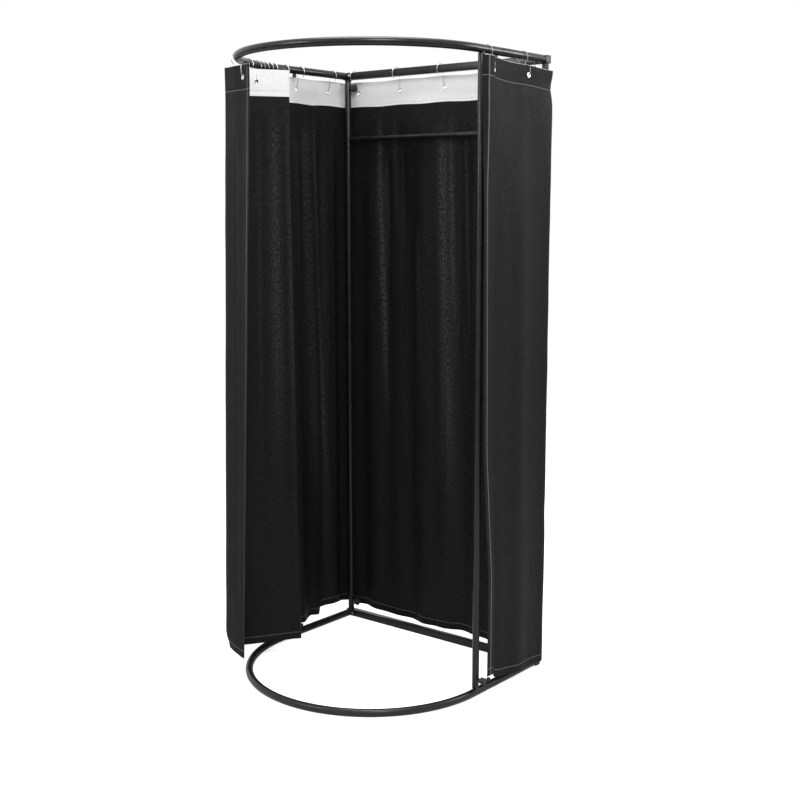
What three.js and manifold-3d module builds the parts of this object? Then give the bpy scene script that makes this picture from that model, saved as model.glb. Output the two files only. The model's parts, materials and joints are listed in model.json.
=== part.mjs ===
// Portable fitting room: a knock-down frame of black tube, half-round in front, hung with black curtains.
// Millimetres, +Z up, the open front faces -Y, and the origin is under the middle of the whole, on the floor.
// Places are worked out from the centre of the hoops' bend, and the whole is centred at the end.
import * as THREE from 'three';
import { mergeVertices } from 'three/addons/utils/BufferGeometryUtils.js';
import Module from 'manifold-3d';

const wasm = await Module();
wasm.setup();

// Overall frame
const frameWidth = 850;
const frameDepth = 800;
const frameHeight = 2000;

// Tubes and the fits between them
const tubeDiameter = 25;
const tubeWall = 1.2;
const postDiameter = 22;
const postWall = 1.2;
const seatGap = 0.3;
const cutOverrun = 2;

// Hoops and side tubes
const legLength = 100;
const socketLength = 55;
const plugClearance = 0.25;
const swageLength = 8;
const tabThickness = 3;
const tabWidth = 37;
const tabHeight = 21;
const weldDepth = 0.6;

// Posts, their spigots and their hand knobs
const frontPostSetback = 16;
const spigotDiameter = 18;
const spigotLength = 72;
const knobInset = 29.5;
const nutAcross = 13;
const nutHeight = 6;
const studDiameter = 6;
const studClearance = 0.3;
const knobDiameter = 23;
const knobLobeDepth = 1.8;
const knobLobes = 6;
const knobNeckDiameter = 14;
const knobNeckLength = 4;
const knobHeadLength = 14;
const knobEdge = 1.5;

// Screws, bolts and end caps
const jointScrewSetback = 12;
const jointScrewDiameter = 5;
const jointScrewHead = 13;
const jointScrewHeadLength = 11;
const jointScrewReach = 12;
const cornerBoltDiameter = 5;
const cornerBoltHead = 9;
const cornerBoltHeadLength = 3.5;
const cornerBoltReach = 14;
const cornerBoltInset = 18.5;
const capThickness = 2.5;
const capPlugLength = 12;
const capPlugWall = 2;

// Clothes rail
const railDiameter = 19;
const railDrop = 232;
const rivetDiameter = 6;
const rivetHeadDiameter = 11;
const rivetHeadLength = 3;
const headTaperShare = 0.33;

// Hooks of round wire
const wireDiameter = 2;
const roundHookLoopRadius = 19;
const squareHookLoopRadius = 21;
const hookMouthAngle = 64;
const hookLegOffset = 5.3;
const hookLegHeight = 6;
const hookTipHeight = 19;

// Curtains
const clothThickness = 2.4;
const headerDrop = 34;
const headerDepth = 83;
const eyeletInset = 38;
const eyeletRadius = 6;
const wallStandOff = 23;
const hemHeight = 38;
const frontHemHeight = 46;
const lastHemHeights = [58, 52, 38];

// Wall folds: how they fade, how the cloth sags, and how it goes over the front knobs
const foldEase = 60;
const foldDriftShare = 0.12;
const foldHoldShare = 0.75;
const headerSag = 5;
const coverDepth = 14.5;
const coverEnd = 27;
const coverFade = 38;
const coverHeadDrop = 140;
const coverFootDrop = 500;
const edgeSetback = 34;
const edgeHeadShare = 0.39;
const edgeFootShare = 0.192;
const hemRise = 6;
const hemWaves = 1.6;
const hemFadeShare = 0.2;
const curtainFront = 3;

// Wall hooks: the free walls' places as shares of their length, the back wall's evenly spread
const frontHookPlace = 41;
const leftHookShares = [0.3, 0.722];
const rightHookShares = [0.597];
const backHooks = 5;
const cornerHookInset = 51;

// Front pleats: where each hook hangs in degrees round the bend, and how far each pleat stands out
const pleatTurns = [181.5, 184.7, 188, 191.2, 194.4];
const pleatDepths = [92, 96, 90, 95];
const pleatCurl = 0.3;
const pleatEasing = 0.15;
const creaseGap = 0.05;
const runGapShare = 0.05;
const pleatStart = 0.52;

// Waves of each wall's folds: [count along the wall, depth as a share of the stand-off, phase]
const leftWaveShares = [[2.2, 0.39, 0.1], [4.3, 0.17, 0.55]];
const backWaveShares = [[3.1, 0.35, 0.3], [7.4, 0.17, 0.8]];
const rightWaveShares = [[1.6, 0.35, 0.35], [3.7, 0.13, 0.2]];

// How round things are faceted
const tubeSides = 12;
const hoopSteps = 26;
const postSides = 12;
const smallSides = 8;
const headSides = 10;
const nutSides = 6;
const wireSides = 4;
const knobLobePoints = 3;
const pleatColumns = 14;
const firstPleatColumns = 12;
const foldStepsPerSpan = 2;
const sideWallColumns = 22;
const backWallColumns = 32;
const freeSpread = 1.5;

const tubeRadius = tubeDiameter / 2;
const bendRadius = frameWidth / 2 - tubeRadius;
const backPlace = frameDepth - frameWidth / 2 - tubeRadius;
const backFront = backPlace - tubeRadius;
const topCentre = frameHeight - tubeRadius;
const topUnderside = frameHeight - tubeDiameter;
const postRadius = postDiameter / 2;
const postFoot = tubeDiameter + seatGap;
const postTop = topUnderside - seatGap;
const footKnobHeight = tubeDiameter + knobInset;
const headKnobHeight = topUnderside - knobInset;
const wireRadius = wireDiameter / 2;
const wallPlace = bendRadius + wallStandOff;
const backWallPlace = backPlace + wallStandOff;
const railHeight = frameHeight - railDrop;
const headerTop = frameHeight - headerDrop;
const headerBottom = headerTop - headerDepth;
const eyeletHeight = headerTop - eyeletInset;
const headerShare = (headerBottom - hemHeight) / (headerTop - hemHeight);
const coverHead = frameHeight - coverHeadDrop;
const coverFoot = frameHeight - coverFootDrop;
const edgeHead = edgeHeadShare * frameHeight;
const edgeFoot = edgeFootShare * frameHeight;
const cornerGap = clothThickness / 2 + seatGap;
const sideWallLength = backWallPlace + clothThickness / 2 - curtainFront;
const backWallLength = 2 * (wallPlace - cornerGap);
const wallRowShares = [0, 0.14, 0.32, 0.5, 0.68, 0.85, headerShare, 1];
const frontRowShares = [0, 0.25, 0.5, 0.75, headerShare, 1];

const up = new THREE.Vector3(0, 0, 1);
const across = new THREE.Vector3(1, 0, 0);
const rearward = new THREE.Vector3(0, 1, 0);

const steel = { color: 0x2b2b2c, roughness: 0.45, metalness: 0.4 };
const plastic = { color: 0x1c1c1d, roughness: 0.55, metalness: 0 };
const zinc = { color: 0xb9bbbd, roughness: 0.3, metalness: 1 };
const cloth = { color: 0x1b1b1c, roughness: 0.92, metalness: 0 };

const booth = new THREE.Group();

function add(name, geometry, finish, place = new THREE.Vector3(), turn = new THREE.Quaternion()) {
  const mesh = new THREE.Mesh(geometry, new THREE.MeshStandardMaterial(finish));
  mesh.name = name;
  mesh.position.copy(place);
  mesh.quaternion.copy(turn);
  booth.add(mesh);
  return mesh;
}

// Joining and cutting

function solidOf(geometry) {
  const bare = geometry.clone();
  bare.deleteAttribute('normal');
  bare.deleteAttribute('uv');
  const merged = mergeVertices(bare);
  const corners = merged.index.array;
  const kept = [];
  for (let i = 0; i < corners.length; i += 3) {
    const [a, b, c] = corners.slice(i, i + 3);
    if (a !== b && b !== c && c !== a) kept.push(a, b, c);
  }
  return new wasm.Manifold(new wasm.Mesh({
    numProp: 3,
    vertProperties: merged.attributes.position.array,
    triVerts: new Uint32Array(kept),
  }));
}

function geometryOf(solid) {
  const mesh = solid.getMesh();
  const geometry = new THREE.BufferGeometry();
  geometry.setAttribute('position', new THREE.BufferAttribute(mesh.vertProperties, 3));
  geometry.setIndex(new THREE.BufferAttribute(mesh.triVerts, 1));
  geometry.computeVertexNormals();
  return geometry;
}

function built(start, joined = [], cut = []) {
  let solid = solidOf(start);
  for (const piece of joined) solid = solid.add(solidOf(piece));
  for (const piece of cut) solid = solid.subtract(solidOf(piece));
  return geometryOf(solid);
}

// Shapes

function bar(from, to, radius, sides, endRadius = radius) {
  const run = to.clone().sub(from);
  const geometry = new THREE.CylinderGeometry(endRadius, radius, run.length(), sides);
  geometry.applyQuaternion(new THREE.Quaternion().setFromUnitVectors(rearward, run.clone().normalize()));
  const middle = from.clone().add(to).multiplyScalar(0.5);
  return geometry.translate(middle.x, middle.y, middle.z);
}

function box(low, high) {
  const size = high.clone().sub(low);
  const middle = low.clone().add(high).multiplyScalar(0.5);
  return new THREE.BoxGeometry(size.x, size.y, size.z).translate(middle.x, middle.y, middle.z);
}

function polar(radius, degrees, height = 0) {
  const angle = THREE.MathUtils.degToRad(degrees);
  return new THREE.Vector3(radius * Math.cos(angle), radius * Math.sin(angle), height);
}

// A path that an extrusion follows through its own stations, mitred at each.
class StationPath extends THREE.Curve {
  constructor(stations) {
    super();
    this.stations = stations;
    this.ways = stations.map((_, i) => {
      const before = stations[Math.max(i - 1, 0)];
      const after = stations[Math.min(i + 1, stations.length - 1)];
      const here = stations[i];
      const way = new THREE.Vector3();
      if (i > 0) way.add(here.clone().sub(before).normalize());
      if (i < stations.length - 1) way.add(after.clone().sub(here).normalize());
      return way.normalize();
    });
  }

  getUtoTmapping(u) {
    return u;
  }

  blend(list, t) {
    const along = t * (list.length - 1);
    const index = Math.min(Math.floor(along), list.length - 2);
    return list[index].clone().lerp(list[index + 1], along - index);
  }

  getPoint(t) {
    return this.blend(this.stations, t);
  }

  getTangent(t) {
    return this.blend(this.ways, t).normalize();
  }
}

function roundSection(radius, sides, bore = 0) {
  const ring = (r) => Array.from({ length: sides }, (_, i) => {
    const angle = (2 * Math.PI * i) / sides;
    return new THREE.Vector2(r * Math.cos(angle), r * Math.sin(angle));
  });
  const shape = new THREE.Shape(ring(radius));
  if (bore > 0) shape.holes.push(new THREE.Path(ring(bore)));
  return shape;
}

function alongStations(section, stations) {
  return new THREE.ExtrudeGeometry(section, {
    steps: stations.length - 1,
    bevelEnabled: false,
    extrudePath: new StationPath(stations),
  });
}

// Hoops: a half-round bend with a straight leg at each end, and a spigot for each front post

const sides = [{ name: 'left', sign: -1 }, { name: 'right', sign: 1 }];
const levels = [
  { name: 'top', height: topCentre, inward: -1 },
  { name: 'base', height: tubeRadius, inward: 1 },
];

function spigot(x, y, level) {
  const root = level.height + level.inward * (tubeRadius - weldDepth);
  const tip = level.height + level.inward * (tubeRadius + spigotLength);
  return bar(new THREE.Vector3(x, y, root), new THREE.Vector3(x, y, tip), spigotDiameter / 2, postSides);
}

function saddleSpigot(x, y, level) {
  // A round tube falls away beside its crown, so this spigot starts deeper in its wall.
  const sink = tubeRadius - Math.sqrt(tubeRadius ** 2 - (spigotDiameter / 2) ** 2) + weldDepth;
  const root = level.height + level.inward * (tubeRadius - sink);
  const tip = level.height + level.inward * (tubeRadius + spigotLength);
  return bar(new THREE.Vector3(x, y, root), new THREE.Vector3(x, y, tip), spigotDiameter / 2, postSides);
}

const jointScrewPlace = legLength - jointScrewSetback;

function jointScrewHole(x, level) {
  const outside = new THREE.Vector3(x, jointScrewPlace, level.height + level.inward * (tubeRadius + cutOverrun));
  const inside = new THREE.Vector3(x, jointScrewPlace, level.height);
  return bar(outside, inside, jointScrewDiameter / 2 + studClearance, smallSides);
}

function hoop(level) {
  const stations = [new THREE.Vector3(-bendRadius, legLength, level.height)];
  for (let i = 0; i <= hoopSteps; i += 1) {
    stations.push(polar(bendRadius, 180 + (180 * i) / hoopSteps, level.height));
  }
  stations.push(new THREE.Vector3(bendRadius, legLength, level.height));
  const bend = alongStations(roundSection(tubeRadius, tubeSides, tubeRadius - tubeWall), stations);
  const spigots = sides.map(({ sign }) => saddleSpigot(sign * bendRadius, frontPostSetback, level));
  const holes = sides.map(({ sign }) => jointScrewHole(sign * bendRadius, level));
  add(`${level.name}_hoop`, built(bend, spigots, holes), steel);
}

// Side tubes: the front end is drawn down to plug into the hoop, the rear end carries a bolted tab

function sideTube(side, level) {
  const x = side.sign * bendRadius;
  const at = (y) => new THREE.Vector3(x, y, level.height);
  const shoulder = legLength + seatGap;
  const rear = backFront - seatGap - tabThickness;
  const plugRadius = tubeRadius - tubeWall - plugClearance;
  const plugFront = legLength - socketLength;
  const outside = bar(at(shoulder), at(rear + weldDepth), tubeRadius, tubeSides);
  const plug = bar(at(plugFront), at(shoulder + swageLength), plugRadius, tubeSides);
  const bore = bar(at(plugFront - cutOverrun), at(rear - tabThickness), plugRadius - tubeWall, tubeSides);
  const outerEdge = x + side.sign * tubeRadius;
  const innerEdge = outerEdge - side.sign * tabWidth;
  const tab = box(
    new THREE.Vector3(Math.min(outerEdge, innerEdge), rear, level.height - tabHeight / 2),
    new THREE.Vector3(Math.max(outerEdge, innerEdge), backFront - seatGap, level.height + tabHeight / 2),
  );
  const boltX = x - side.sign * cornerBoltInset;
  const boltHole = bar(
    new THREE.Vector3(boltX, rear - cutOverrun, level.height),
    new THREE.Vector3(boltX, backFront + cutOverrun, level.height),
    cornerBoltDiameter / 2 + studClearance,
    smallSides,
  );
  const geometry = built(outside, [plug, tab], [bore, boltHole, jointScrewHole(x, level)]);
  add(`${level.name}_${side.name}_tube`, geometry, steel);
}

function jointScrew(side, level) {
  const headStart = tubeRadius + seatGap;
  const headEnd = headStart + jointScrewHeadLength;
  const at = (reach) => new THREE.Vector3(0, 0, reach);
  const head = bar(at(headStart), at(headEnd), jointScrewHead / 2, headSides);
  const shank = bar(at(headStart + weldDepth), at(headStart - jointScrewReach), jointScrewDiameter / 2, smallSides);
  const turn = new THREE.Quaternion().setFromUnitVectors(up, up.clone().multiplyScalar(level.inward));
  const place = new THREE.Vector3(side.sign * bendRadius, jointScrewPlace, level.height);
  add(`${level.name}_${side.name}_joint_screw`, built(head, [shank]), plastic, place, turn);
}

// Rear tubes: square, each with two spigots, two bolt holes and a cap in each end

const backHalfLength = frameWidth / 2 - capThickness - seatGap;

function backTube(level) {
  const beam = (reach, half) => box(
    new THREE.Vector3(-reach, backPlace - half, level.height - half),
    new THREE.Vector3(reach, backPlace + half, level.height + half),
  );
  const outside = beam(backHalfLength, tubeRadius);
  const inside = beam(backHalfLength + cutOverrun, tubeRadius - tubeWall);
  const spigots = sides.map(({ sign }) => spigot(sign * bendRadius, backPlace, level));
  const holes = sides.map(({ sign }) => {
    const x = sign * (bendRadius - cornerBoltInset);
    const front = new THREE.Vector3(x, backFront - cutOverrun, level.height);
    return bar(front, new THREE.Vector3(x, backPlace, level.height), cornerBoltDiameter / 2 + studClearance, smallSides);
  });
  const shell = geometryOf(solidOf(outside).subtract(solidOf(inside)));
  add(`${level.name}_back_tube`, built(shell, spigots, holes), steel);
}

function endCap(side, level) {
  const bore = tubeRadius - tubeWall;
  const plugHalf = bore - plugClearance;
  const coreHalf = plugHalf - capPlugWall;
  const block = (from, to, half) => box(new THREE.Vector3(from, -half, -half), new THREE.Vector3(to, half, half));
  const flange = block(-capThickness, 0, tubeRadius);
  const plug = block(-capThickness - seatGap - capPlugLength, -capThickness + weldDepth, plugHalf);
  const core = block(-capThickness - seatGap - capPlugLength - cutOverrun, -capThickness, coreHalf);
  const place = new THREE.Vector3((side.sign * frameWidth) / 2, backPlace, level.height);
  const turn = new THREE.Quaternion().setFromUnitVectors(across, across.clone().multiplyScalar(side.sign));
  add(`${level.name}_${side.name}_end_cap`, built(flange, [plug], [core]), plastic, place, turn);
}

function cornerBolt(side, level) {
  const seat = -seatGap - tabThickness - seatGap;
  const at = (y) => new THREE.Vector3(0, y, 0);
  const head = bar(at(seat), at(seat - cornerBoltHeadLength), cornerBoltHead / 2, headSides, cornerBoltHead * headTaperShare);
  const shank = bar(at(seat - weldDepth), at(cornerBoltReach), cornerBoltDiameter / 2, smallSides);
  const place = new THREE.Vector3(side.sign * (bendRadius - cornerBoltInset), backFront, level.height);
  add(`${level.name}_${side.name}_corner_bolt`, built(head, [shank]), zinc, place);
}

// Posts: round tube with a welded nut near each end, and a rail hole through each rear post

const corners = [
  { name: 'front_left', x: -bendRadius, y: frontPostSetback, knobWay: -1, rear: false },
  { name: 'front_right', x: bendRadius, y: frontPostSetback, knobWay: 1, rear: false },
  { name: 'back_left', x: -bendRadius, y: backPlace, knobWay: 1, rear: true },
  { name: 'back_right', x: bendRadius, y: backPlace, knobWay: -1, rear: true },
];

function post(corner) {
  const at = (height, reach = 0) => new THREE.Vector3(corner.knobWay * reach, 0, height);
  const outside = bar(at(postFoot), at(postTop), postRadius, postSides);
  const bore = bar(at(postFoot - cutOverrun), at(postTop + cutOverrun), postRadius - postWall, postSides);
  const joined = [];
  const cut = [bore];
  for (const height of [footKnobHeight, headKnobHeight]) {
    joined.push(bar(at(height, postRadius - postWall), at(height, postRadius + nutHeight), nutAcross / 2, nutSides));
    cut.push(bar(at(height), at(height, postRadius + nutHeight + cutOverrun), studDiameter / 2 + studClearance, smallSides));
  }
  if (corner.rear) {
    const reach = postRadius + cutOverrun;
    cut.push(bar(at(railHeight, -reach), at(railHeight, reach), rivetDiameter / 2 + studClearance, smallSides));
  }
  const place = new THREE.Vector3(corner.x, corner.y, 0);
  add(`${corner.name}_post`, built(outside, joined, cut), steel, place);
}

function knobGeometry() {
  const around = knobLobes * knobLobePoints;
  const outline = Array.from({ length: around }, (_, i) => {
    const angle = (2 * Math.PI * i) / around;
    const reach = knobDiameter / 2 - knobEdge - (knobLobeDepth * (1 - Math.cos(knobLobes * angle))) / 2;
    return new THREE.Vector2(reach * Math.cos(angle), reach * Math.sin(angle));
  });
  const neckStart = postRadius + nutHeight + seatGap;
  const headStart = neckStart + knobNeckLength;
  const at = (reach) => new THREE.Vector3(0, 0, reach);
  const head = new THREE.ExtrudeGeometry(new THREE.Shape(outline), {
    depth: knobHeadLength - 2 * knobEdge,
    bevelThickness: knobEdge,
    bevelSize: knobEdge,
    bevelSegments: 1,
  }).translate(0, 0, headStart + knobEdge);
  const neck = bar(at(neckStart), at(headStart + weldDepth), knobNeckDiameter / 2, headSides);
  const stud = bar(at(spigotDiameter / 2 + seatGap), at(neckStart + weldDepth), studDiameter / 2, smallSides);
  return built(head, [neck, stud]);
}

function knobs(corner) {
  const turn = new THREE.Quaternion().setFromUnitVectors(up, across.clone().multiplyScalar(corner.knobWay));
  const heights = { foot: footKnobHeight, head: headKnobHeight };
  for (const [end, height] of Object.entries(heights)) {
    const place = new THREE.Vector3(corner.x, corner.y, height);
    add(`${corner.name}_${end}_knob`, knobGeometry(), plastic, place, turn);
  }
}

// Clothes rail: a bar between the rear posts, held by a rivet through each post

function clothesRail() {
  const reach = bendRadius - postRadius - seatGap;
  const rivetReach = bendRadius + postRadius + seatGap;
  const at = (x) => new THREE.Vector3(x, backPlace, railHeight);
  const body = bar(at(-reach), at(reach), railDiameter / 2, tubeSides + 2);
  const shank = bar(at(-rivetReach - weldDepth), at(rivetReach + weldDepth), rivetDiameter / 2, smallSides);
  const heads = sides.map(({ sign }) => bar(
    at(sign * rivetReach),
    at(sign * (rivetReach + rivetHeadLength)),
    rivetHeadDiameter / 2,
    headSides,
    rivetHeadDiameter * headTaperShare,
  ));
  add('clothes_rail', built(body, [shank, ...heads]), steel);
}

// Hooks: one wire that goes round the tube, down to an eyelet, through it and up again.
// tube is the tube's middle, outward points away from the room, and through is the eyelet's axis.
// On a round tube the loop hangs from the crown, and on a square one from both upper corners.

const mouth = THREE.MathUtils.degToRad(hookMouthAngle);
const loopPoints = 10;
const curlPoints = 4;
const squareLoopInside = squareHookLoopRadius * Math.cos((2 * Math.PI - mouth) / loopPoints / 2) - wireRadius;
const roundTubeLoop = {
  radius: roundHookLoopRadius,
  height: frameHeight + seatGap + wireRadius - roundHookLoopRadius,
};
const squareTubeLoop = {
  radius: squareHookLoopRadius,
  height: frameHeight - Math.sqrt(squareLoopInside ** 2 - (tubeRadius + seatGap) ** 2),
};

function hookStations(tube, outward, eyelet, through, loop) {
  const gap = new THREE.Vector3().subVectors(eyelet, tube);
  const legSide = Math.sign(gap.dot(outward)) || 1;
  const stations = [];
  for (let i = 0; i <= loopPoints; i += 1) {
    const angle = -Math.PI / 2 - legSide * (mouth / 2 + ((2 * Math.PI - mouth) * i) / loopPoints);
    stations.push(new THREE.Vector3(tube.x, tube.y, loop.height + loop.radius * Math.sin(angle))
      .addScaledVector(outward, loop.radius * Math.cos(angle)));
  }
  const toTube = gap.clone().negate().setZ(0);
  const nearSide = Math.sign(toTube.dot(through)) || -1;
  const rest = eyelet.z + eyeletRadius * Math.cos(Math.PI / smallSides) - wireRadius - seatGap;
  for (let i = 0; i <= curlPoints; i += 1) {
    const angle = (Math.PI * i) / curlPoints;
    const height = rest + hookLegHeight * (1 - Math.sin(angle));
    stations.push(new THREE.Vector3(eyelet.x, eyelet.y, height)
      .addScaledVector(through, nearSide * hookLegOffset * Math.cos(angle)));
  }
  stations.push(new THREE.Vector3(eyelet.x, eyelet.y, rest + hookTipHeight)
    .addScaledVector(through, -nearSide * hookLegOffset));
  return stations;
}

function hook(name, tube, outward, eyelet, through, loop = roundTubeLoop) {
  const section = roundSection(wireRadius, wireSides);
  const stations = hookStations(tube, outward, eyelet, through, loop);
  add(name, built(alongStations(section, stations)), zinc);
}

// Cloth: a folded sheet with an even thickness. middle(i, j) is a point of its middle surface,
// i counts columns along the cloth and j rows from the hem up. An end that goes on in
// the next cloth is cut square to the run that both share.

function clothGeometry(middle, columns, rows, startGoesOn = false, endGoesOn = false) {
  const first = startGoesOn ? -1 : 0;
  const last = endGoesOn ? columns + 1 : columns;
  const vertices = [];
  const faces = [];
  const stride = (columns + 1) * (rows + 1);
  const index = (i, j, face) => face * stride + j * (columns + 1) + i;
  for (const face of [0, 1]) {
    for (let j = 0; j <= rows; j += 1) {
      for (let i = 0; i <= columns; i += 1) {
        const here = middle(i, j);
        const way = middle(Math.min(i + 1, last), j).sub(middle(Math.max(i - 1, first), j)).setZ(0).normalize();
        const side = new THREE.Vector3(way.y, -way.x, 0);
        const shift = (face === 0 ? 0.5 : -0.5) * clothThickness;
        vertices.push(...here.addScaledVector(side, shift).toArray());
      }
    }
  }
  const quad = (a, b, c, d) => faces.push(a, b, c, a, c, d);
  for (let j = 0; j < rows; j += 1) {
    for (let i = 0; i < columns; i += 1) {
      quad(index(i, j, 0), index(i + 1, j, 0), index(i + 1, j + 1, 0), index(i, j + 1, 0));
      quad(index(i, j, 1), index(i, j + 1, 1), index(i + 1, j + 1, 1), index(i + 1, j, 1));
    }
    quad(index(0, j, 0), index(0, j + 1, 0), index(0, j + 1, 1), index(0, j, 1));
    quad(index(columns, j, 0), index(columns, j, 1), index(columns, j + 1, 1), index(columns, j + 1, 0));
  }
  for (let i = 0; i < columns; i += 1) {
    quad(index(i, 0, 0), index(i, 0, 1), index(i + 1, 0, 1), index(i + 1, 0, 0));
    quad(index(i, rows, 0), index(i + 1, rows, 0), index(i + 1, rows, 1), index(i, rows, 1));
  }
  const geometry = new THREE.BufferGeometry();
  geometry.setAttribute('position', new THREE.Float32BufferAttribute(vertices, 3));
  geometry.setIndex(faces);
  return geometry;
}

function eyeletCut(eyelet, through) {
  const reach = through.clone().multiplyScalar(clothThickness * 2);
  return bar(eyelet.clone().sub(reach), eyelet.clone().add(reach), eyeletRadius, smallSides);
}

const smooth = THREE.MathUtils.smoothstep;

// Wall curtain: one cloth on the real room, parted here at the two rear corners.
// start and along give a wall's run, outward its outer side, hooks their places along it,
// and waves its folds as [count along the wall, depth, phase].

function wall(spec) {
  const { name, start, along, outward, length, hooks, waves, columns, free, loop } = spec;
  const rows = wallRowShares.length - 1;
  const between = (a) => {
    const marks = [0, ...hooks, length];
    const next = marks.findIndex((mark) => mark > a);
    if (next < 1) return 0;
    return (next % 2 ? 1 : -1) * Math.sin((Math.PI * (a - marks[next - 1])) / (marks[next] - marks[next - 1]));
  };
  const offset = (a, share, height) => {
    const held = smooth(share, foldHoldShare, headerShare);
    const pinned = smooth(a, 0, foldEase) * smooth(length - a, 0, foldEase);
    const folds = waves.reduce((sum, [count, depth, phase]) => (
      sum + depth * wallStandOff * Math.sin(2 * Math.PI * (count * (a / length) + phase + foldDriftShare * share))
    ), 0);
    const body = folds * (free ? smooth(length - a, 0, foldEase) : pinned);
    const knobCover = free ? coverDepth * (1 - smooth(a, coverEnd, coverFade)) * smooth(height, coverFoot, coverHead) : 0;
    return body * (1 - held) + headerSag * between(a) * held * pinned + knobCover;
  };
  const edge = (height) => (free ? edgeSetback * (1 - smooth(height, edgeFoot, edgeHead)) : 0);
  const spreadShares = Array.from({ length: columns + 1 }, (_, i) => (i / columns) ** (free ? freeSpread : 1));
  for (const a of free ? [coverEnd, ...hooks] : hooks) {
    const nearest = Math.round(columns * (a / length) ** (free ? 1 / freeSpread : 1));
    spreadShares[nearest] = a / length;
  }
  const middle = (i, j) => {
    const share = wallRowShares[j];
    const spread = spreadShares[i];
    const height = THREE.MathUtils.lerp(hemHeight, headerTop, share);
    const a = THREE.MathUtils.lerp(edge(height), length, spread);
    const hemWave = hemRise * Math.sin(2 * Math.PI * hemWaves * (a / length)) * (1 - smooth(share, 0, hemFadeShare));
    const shift = offset(a, share, height);
    return new THREE.Vector3(start.x, start.y, height + hemWave)
      .addScaledVector(along, a)
      .addScaledVector(outward, shift);
  };
  const places = hooks.map((a) => start.clone().addScaledVector(along, a).setZ(eyeletHeight));
  const cuts = places.map((place) => eyeletCut(place, outward));
  const turned = along.clone().cross(up).dot(outward) > 0;
  const run = turned ? middle : (i, j) => middle(columns - i, j);
  add(name, built(clothGeometry(run, columns, rows), [], cuts), cloth);
  places.forEach((place, i) => {
    const tube = place.clone().addScaledVector(outward, -wallStandOff);
    hook(`${name.replace('curtain', 'hook')}_${i + 1}`, tube, outward, place, outward, loop);
  });
}

function wallCurtains() {
  const left = across.clone().negate();
  wall({
    name: 'left_wall_curtain',
    start: new THREE.Vector3(-wallPlace, curtainFront, 0),
    along: rearward,
    outward: left,
    length: sideWallLength,
    hooks: [frontHookPlace, ...leftHookShares.map((share) => share * sideWallLength)],
    waves: leftWaveShares,
    columns: sideWallColumns,
    free: true,
    loop: roundTubeLoop,
  });
  const hookSpan = backWallLength - 2 * cornerHookInset;
  const backHookPlaces = Array.from({ length: backHooks }, (_, i) => (
    cornerHookInset + (hookSpan * i) / (backHooks - 1)
  ));
  wall({
    name: 'back_wall_curtain',
    start: new THREE.Vector3(-wallPlace + cornerGap, backWallPlace, 0),
    along: across,
    outward: rearward,
    length: backWallLength,
    hooks: backHookPlaces,
    waves: backWaveShares,
    columns: backWallColumns,
    free: false,
    loop: squareTubeLoop,
  });
  wall({
    name: 'right_wall_curtain',
    start: new THREE.Vector3(wallPlace, curtainFront, 0),
    along: rearward,
    outward: across,
    length: sideWallLength,
    hooks: [frontHookPlace, ...rightHookShares.map((share) => share * sideWallLength)],
    waves: rightWaveShares,
    columns: sideWallColumns,
    free: true,
    loop: roundTubeLoop,
  });
}

// Front curtain: pushed to the left in pleats. Each pleat carries its own hook,
// and the next one starts where it ends, at the outer crease between them.

function pleat(number) {
  const turn = pleatTurns[number - 1];
  const half = (pleatTurns[number] - turn) / 2;
  const depth = pleatDepths[number - 1];
  const apex = bendRadius + wallStandOff;
  const columns = number === 1 ? firstPleatColumns : pleatColumns;
  const middle = (i, j) => {
    const from = number === 1 ? -pleatStart : -1 + creaseGap / half;
    const s = THREE.MathUtils.lerp(from, 1 - creaseGap / half, i / columns);
    const share = frontRowShares[j];
    const reach = apex + (depth * (1 - Math.cos(Math.PI * s))) / 2;
    const degrees = turn + half * (s + pleatCurl * Math.sin(2 * Math.PI * s) * (1 - share * pleatEasing));
    return polar(reach, degrees, THREE.MathUtils.lerp(frontHemHeight, headerTop, share));
  };
  const outward = polar(1, turn);
  const eyelet = polar(apex, turn, eyeletHeight);
  const sheet = clothGeometry(middle, columns, frontRowShares.length - 1, number > 1, true);
  add(`front_fold_${number}`, built(sheet, [], [eyeletCut(eyelet, outward)]), cloth);
  hook(`front_hook_${number}`, polar(bendRadius, turn), outward, eyelet, outward);
}

// The last three folds hang across the ring, in one run that is drawn in plan at its header and
// at its hem. Its places are given as [share of the hoop's radius, degrees round the bend].
// The run starts one place ahead of the crease that it shares with the fourth pleat.

const headerRunShares = [
  [1.272, 192.25], [1.286, 192.8], [1.272, 193.35], [1.22, 193.6], [1.12, 193.7], [1.02, 193.7],
  [0.9, 192.9], [0.79, 191.0], [0.748, 190.55], [0.729, 191.6], [0.748, 192.8], [0.79, 195.6],
  [0.85, 199.2], [0.929, 202.95], [1.03, 206.6], [1.105, 208.75], [1.135, 209.3], [1.143, 210.1],
  [1.13, 210.9], [1.09, 213.2], [1.03, 217.6], [0.961, 223.0], [0.914, 229.6],
];
const hemRunShares = [
  [1.272, 192.25], [1.286, 192.8], [1.272, 193.35], [1.22, 193.75], [1.1, 194.2], [0.98, 194.3],
  [0.85, 193.5], [0.73, 192.4], [0.69, 192.4], [0.665, 194.0], [0.683, 195.6], [0.73, 199.0],
  [0.83, 204.0], [0.93, 207.4], [1.05, 210.2], [1.155, 211.7], [1.185, 212.0], [1.194, 212.6],
  [1.18, 213.3], [1.15, 215.2], [1.09, 218.6], [1.045, 221.6], [1.04, 224.8],
];
const lastFolds = [
  { from: 1, eyelet: 5, to: 9, hookTurn: 0.85, hem: lastHemHeights[0] },
  { from: 9, eyelet: 13, to: 17, hookTurn: 0, hem: lastHemHeights[1] },
  { from: 17, eyelet: 21, to: 22, hookTurn: 0, hem: lastHemHeights[2] },
];
const runSpans = headerRunShares.length - 1;
const runCurve = (shares) => new THREE.CatmullRomCurve3(
  shares.map(([share, degrees]) => polar(share * bendRadius, degrees)),
);
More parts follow.
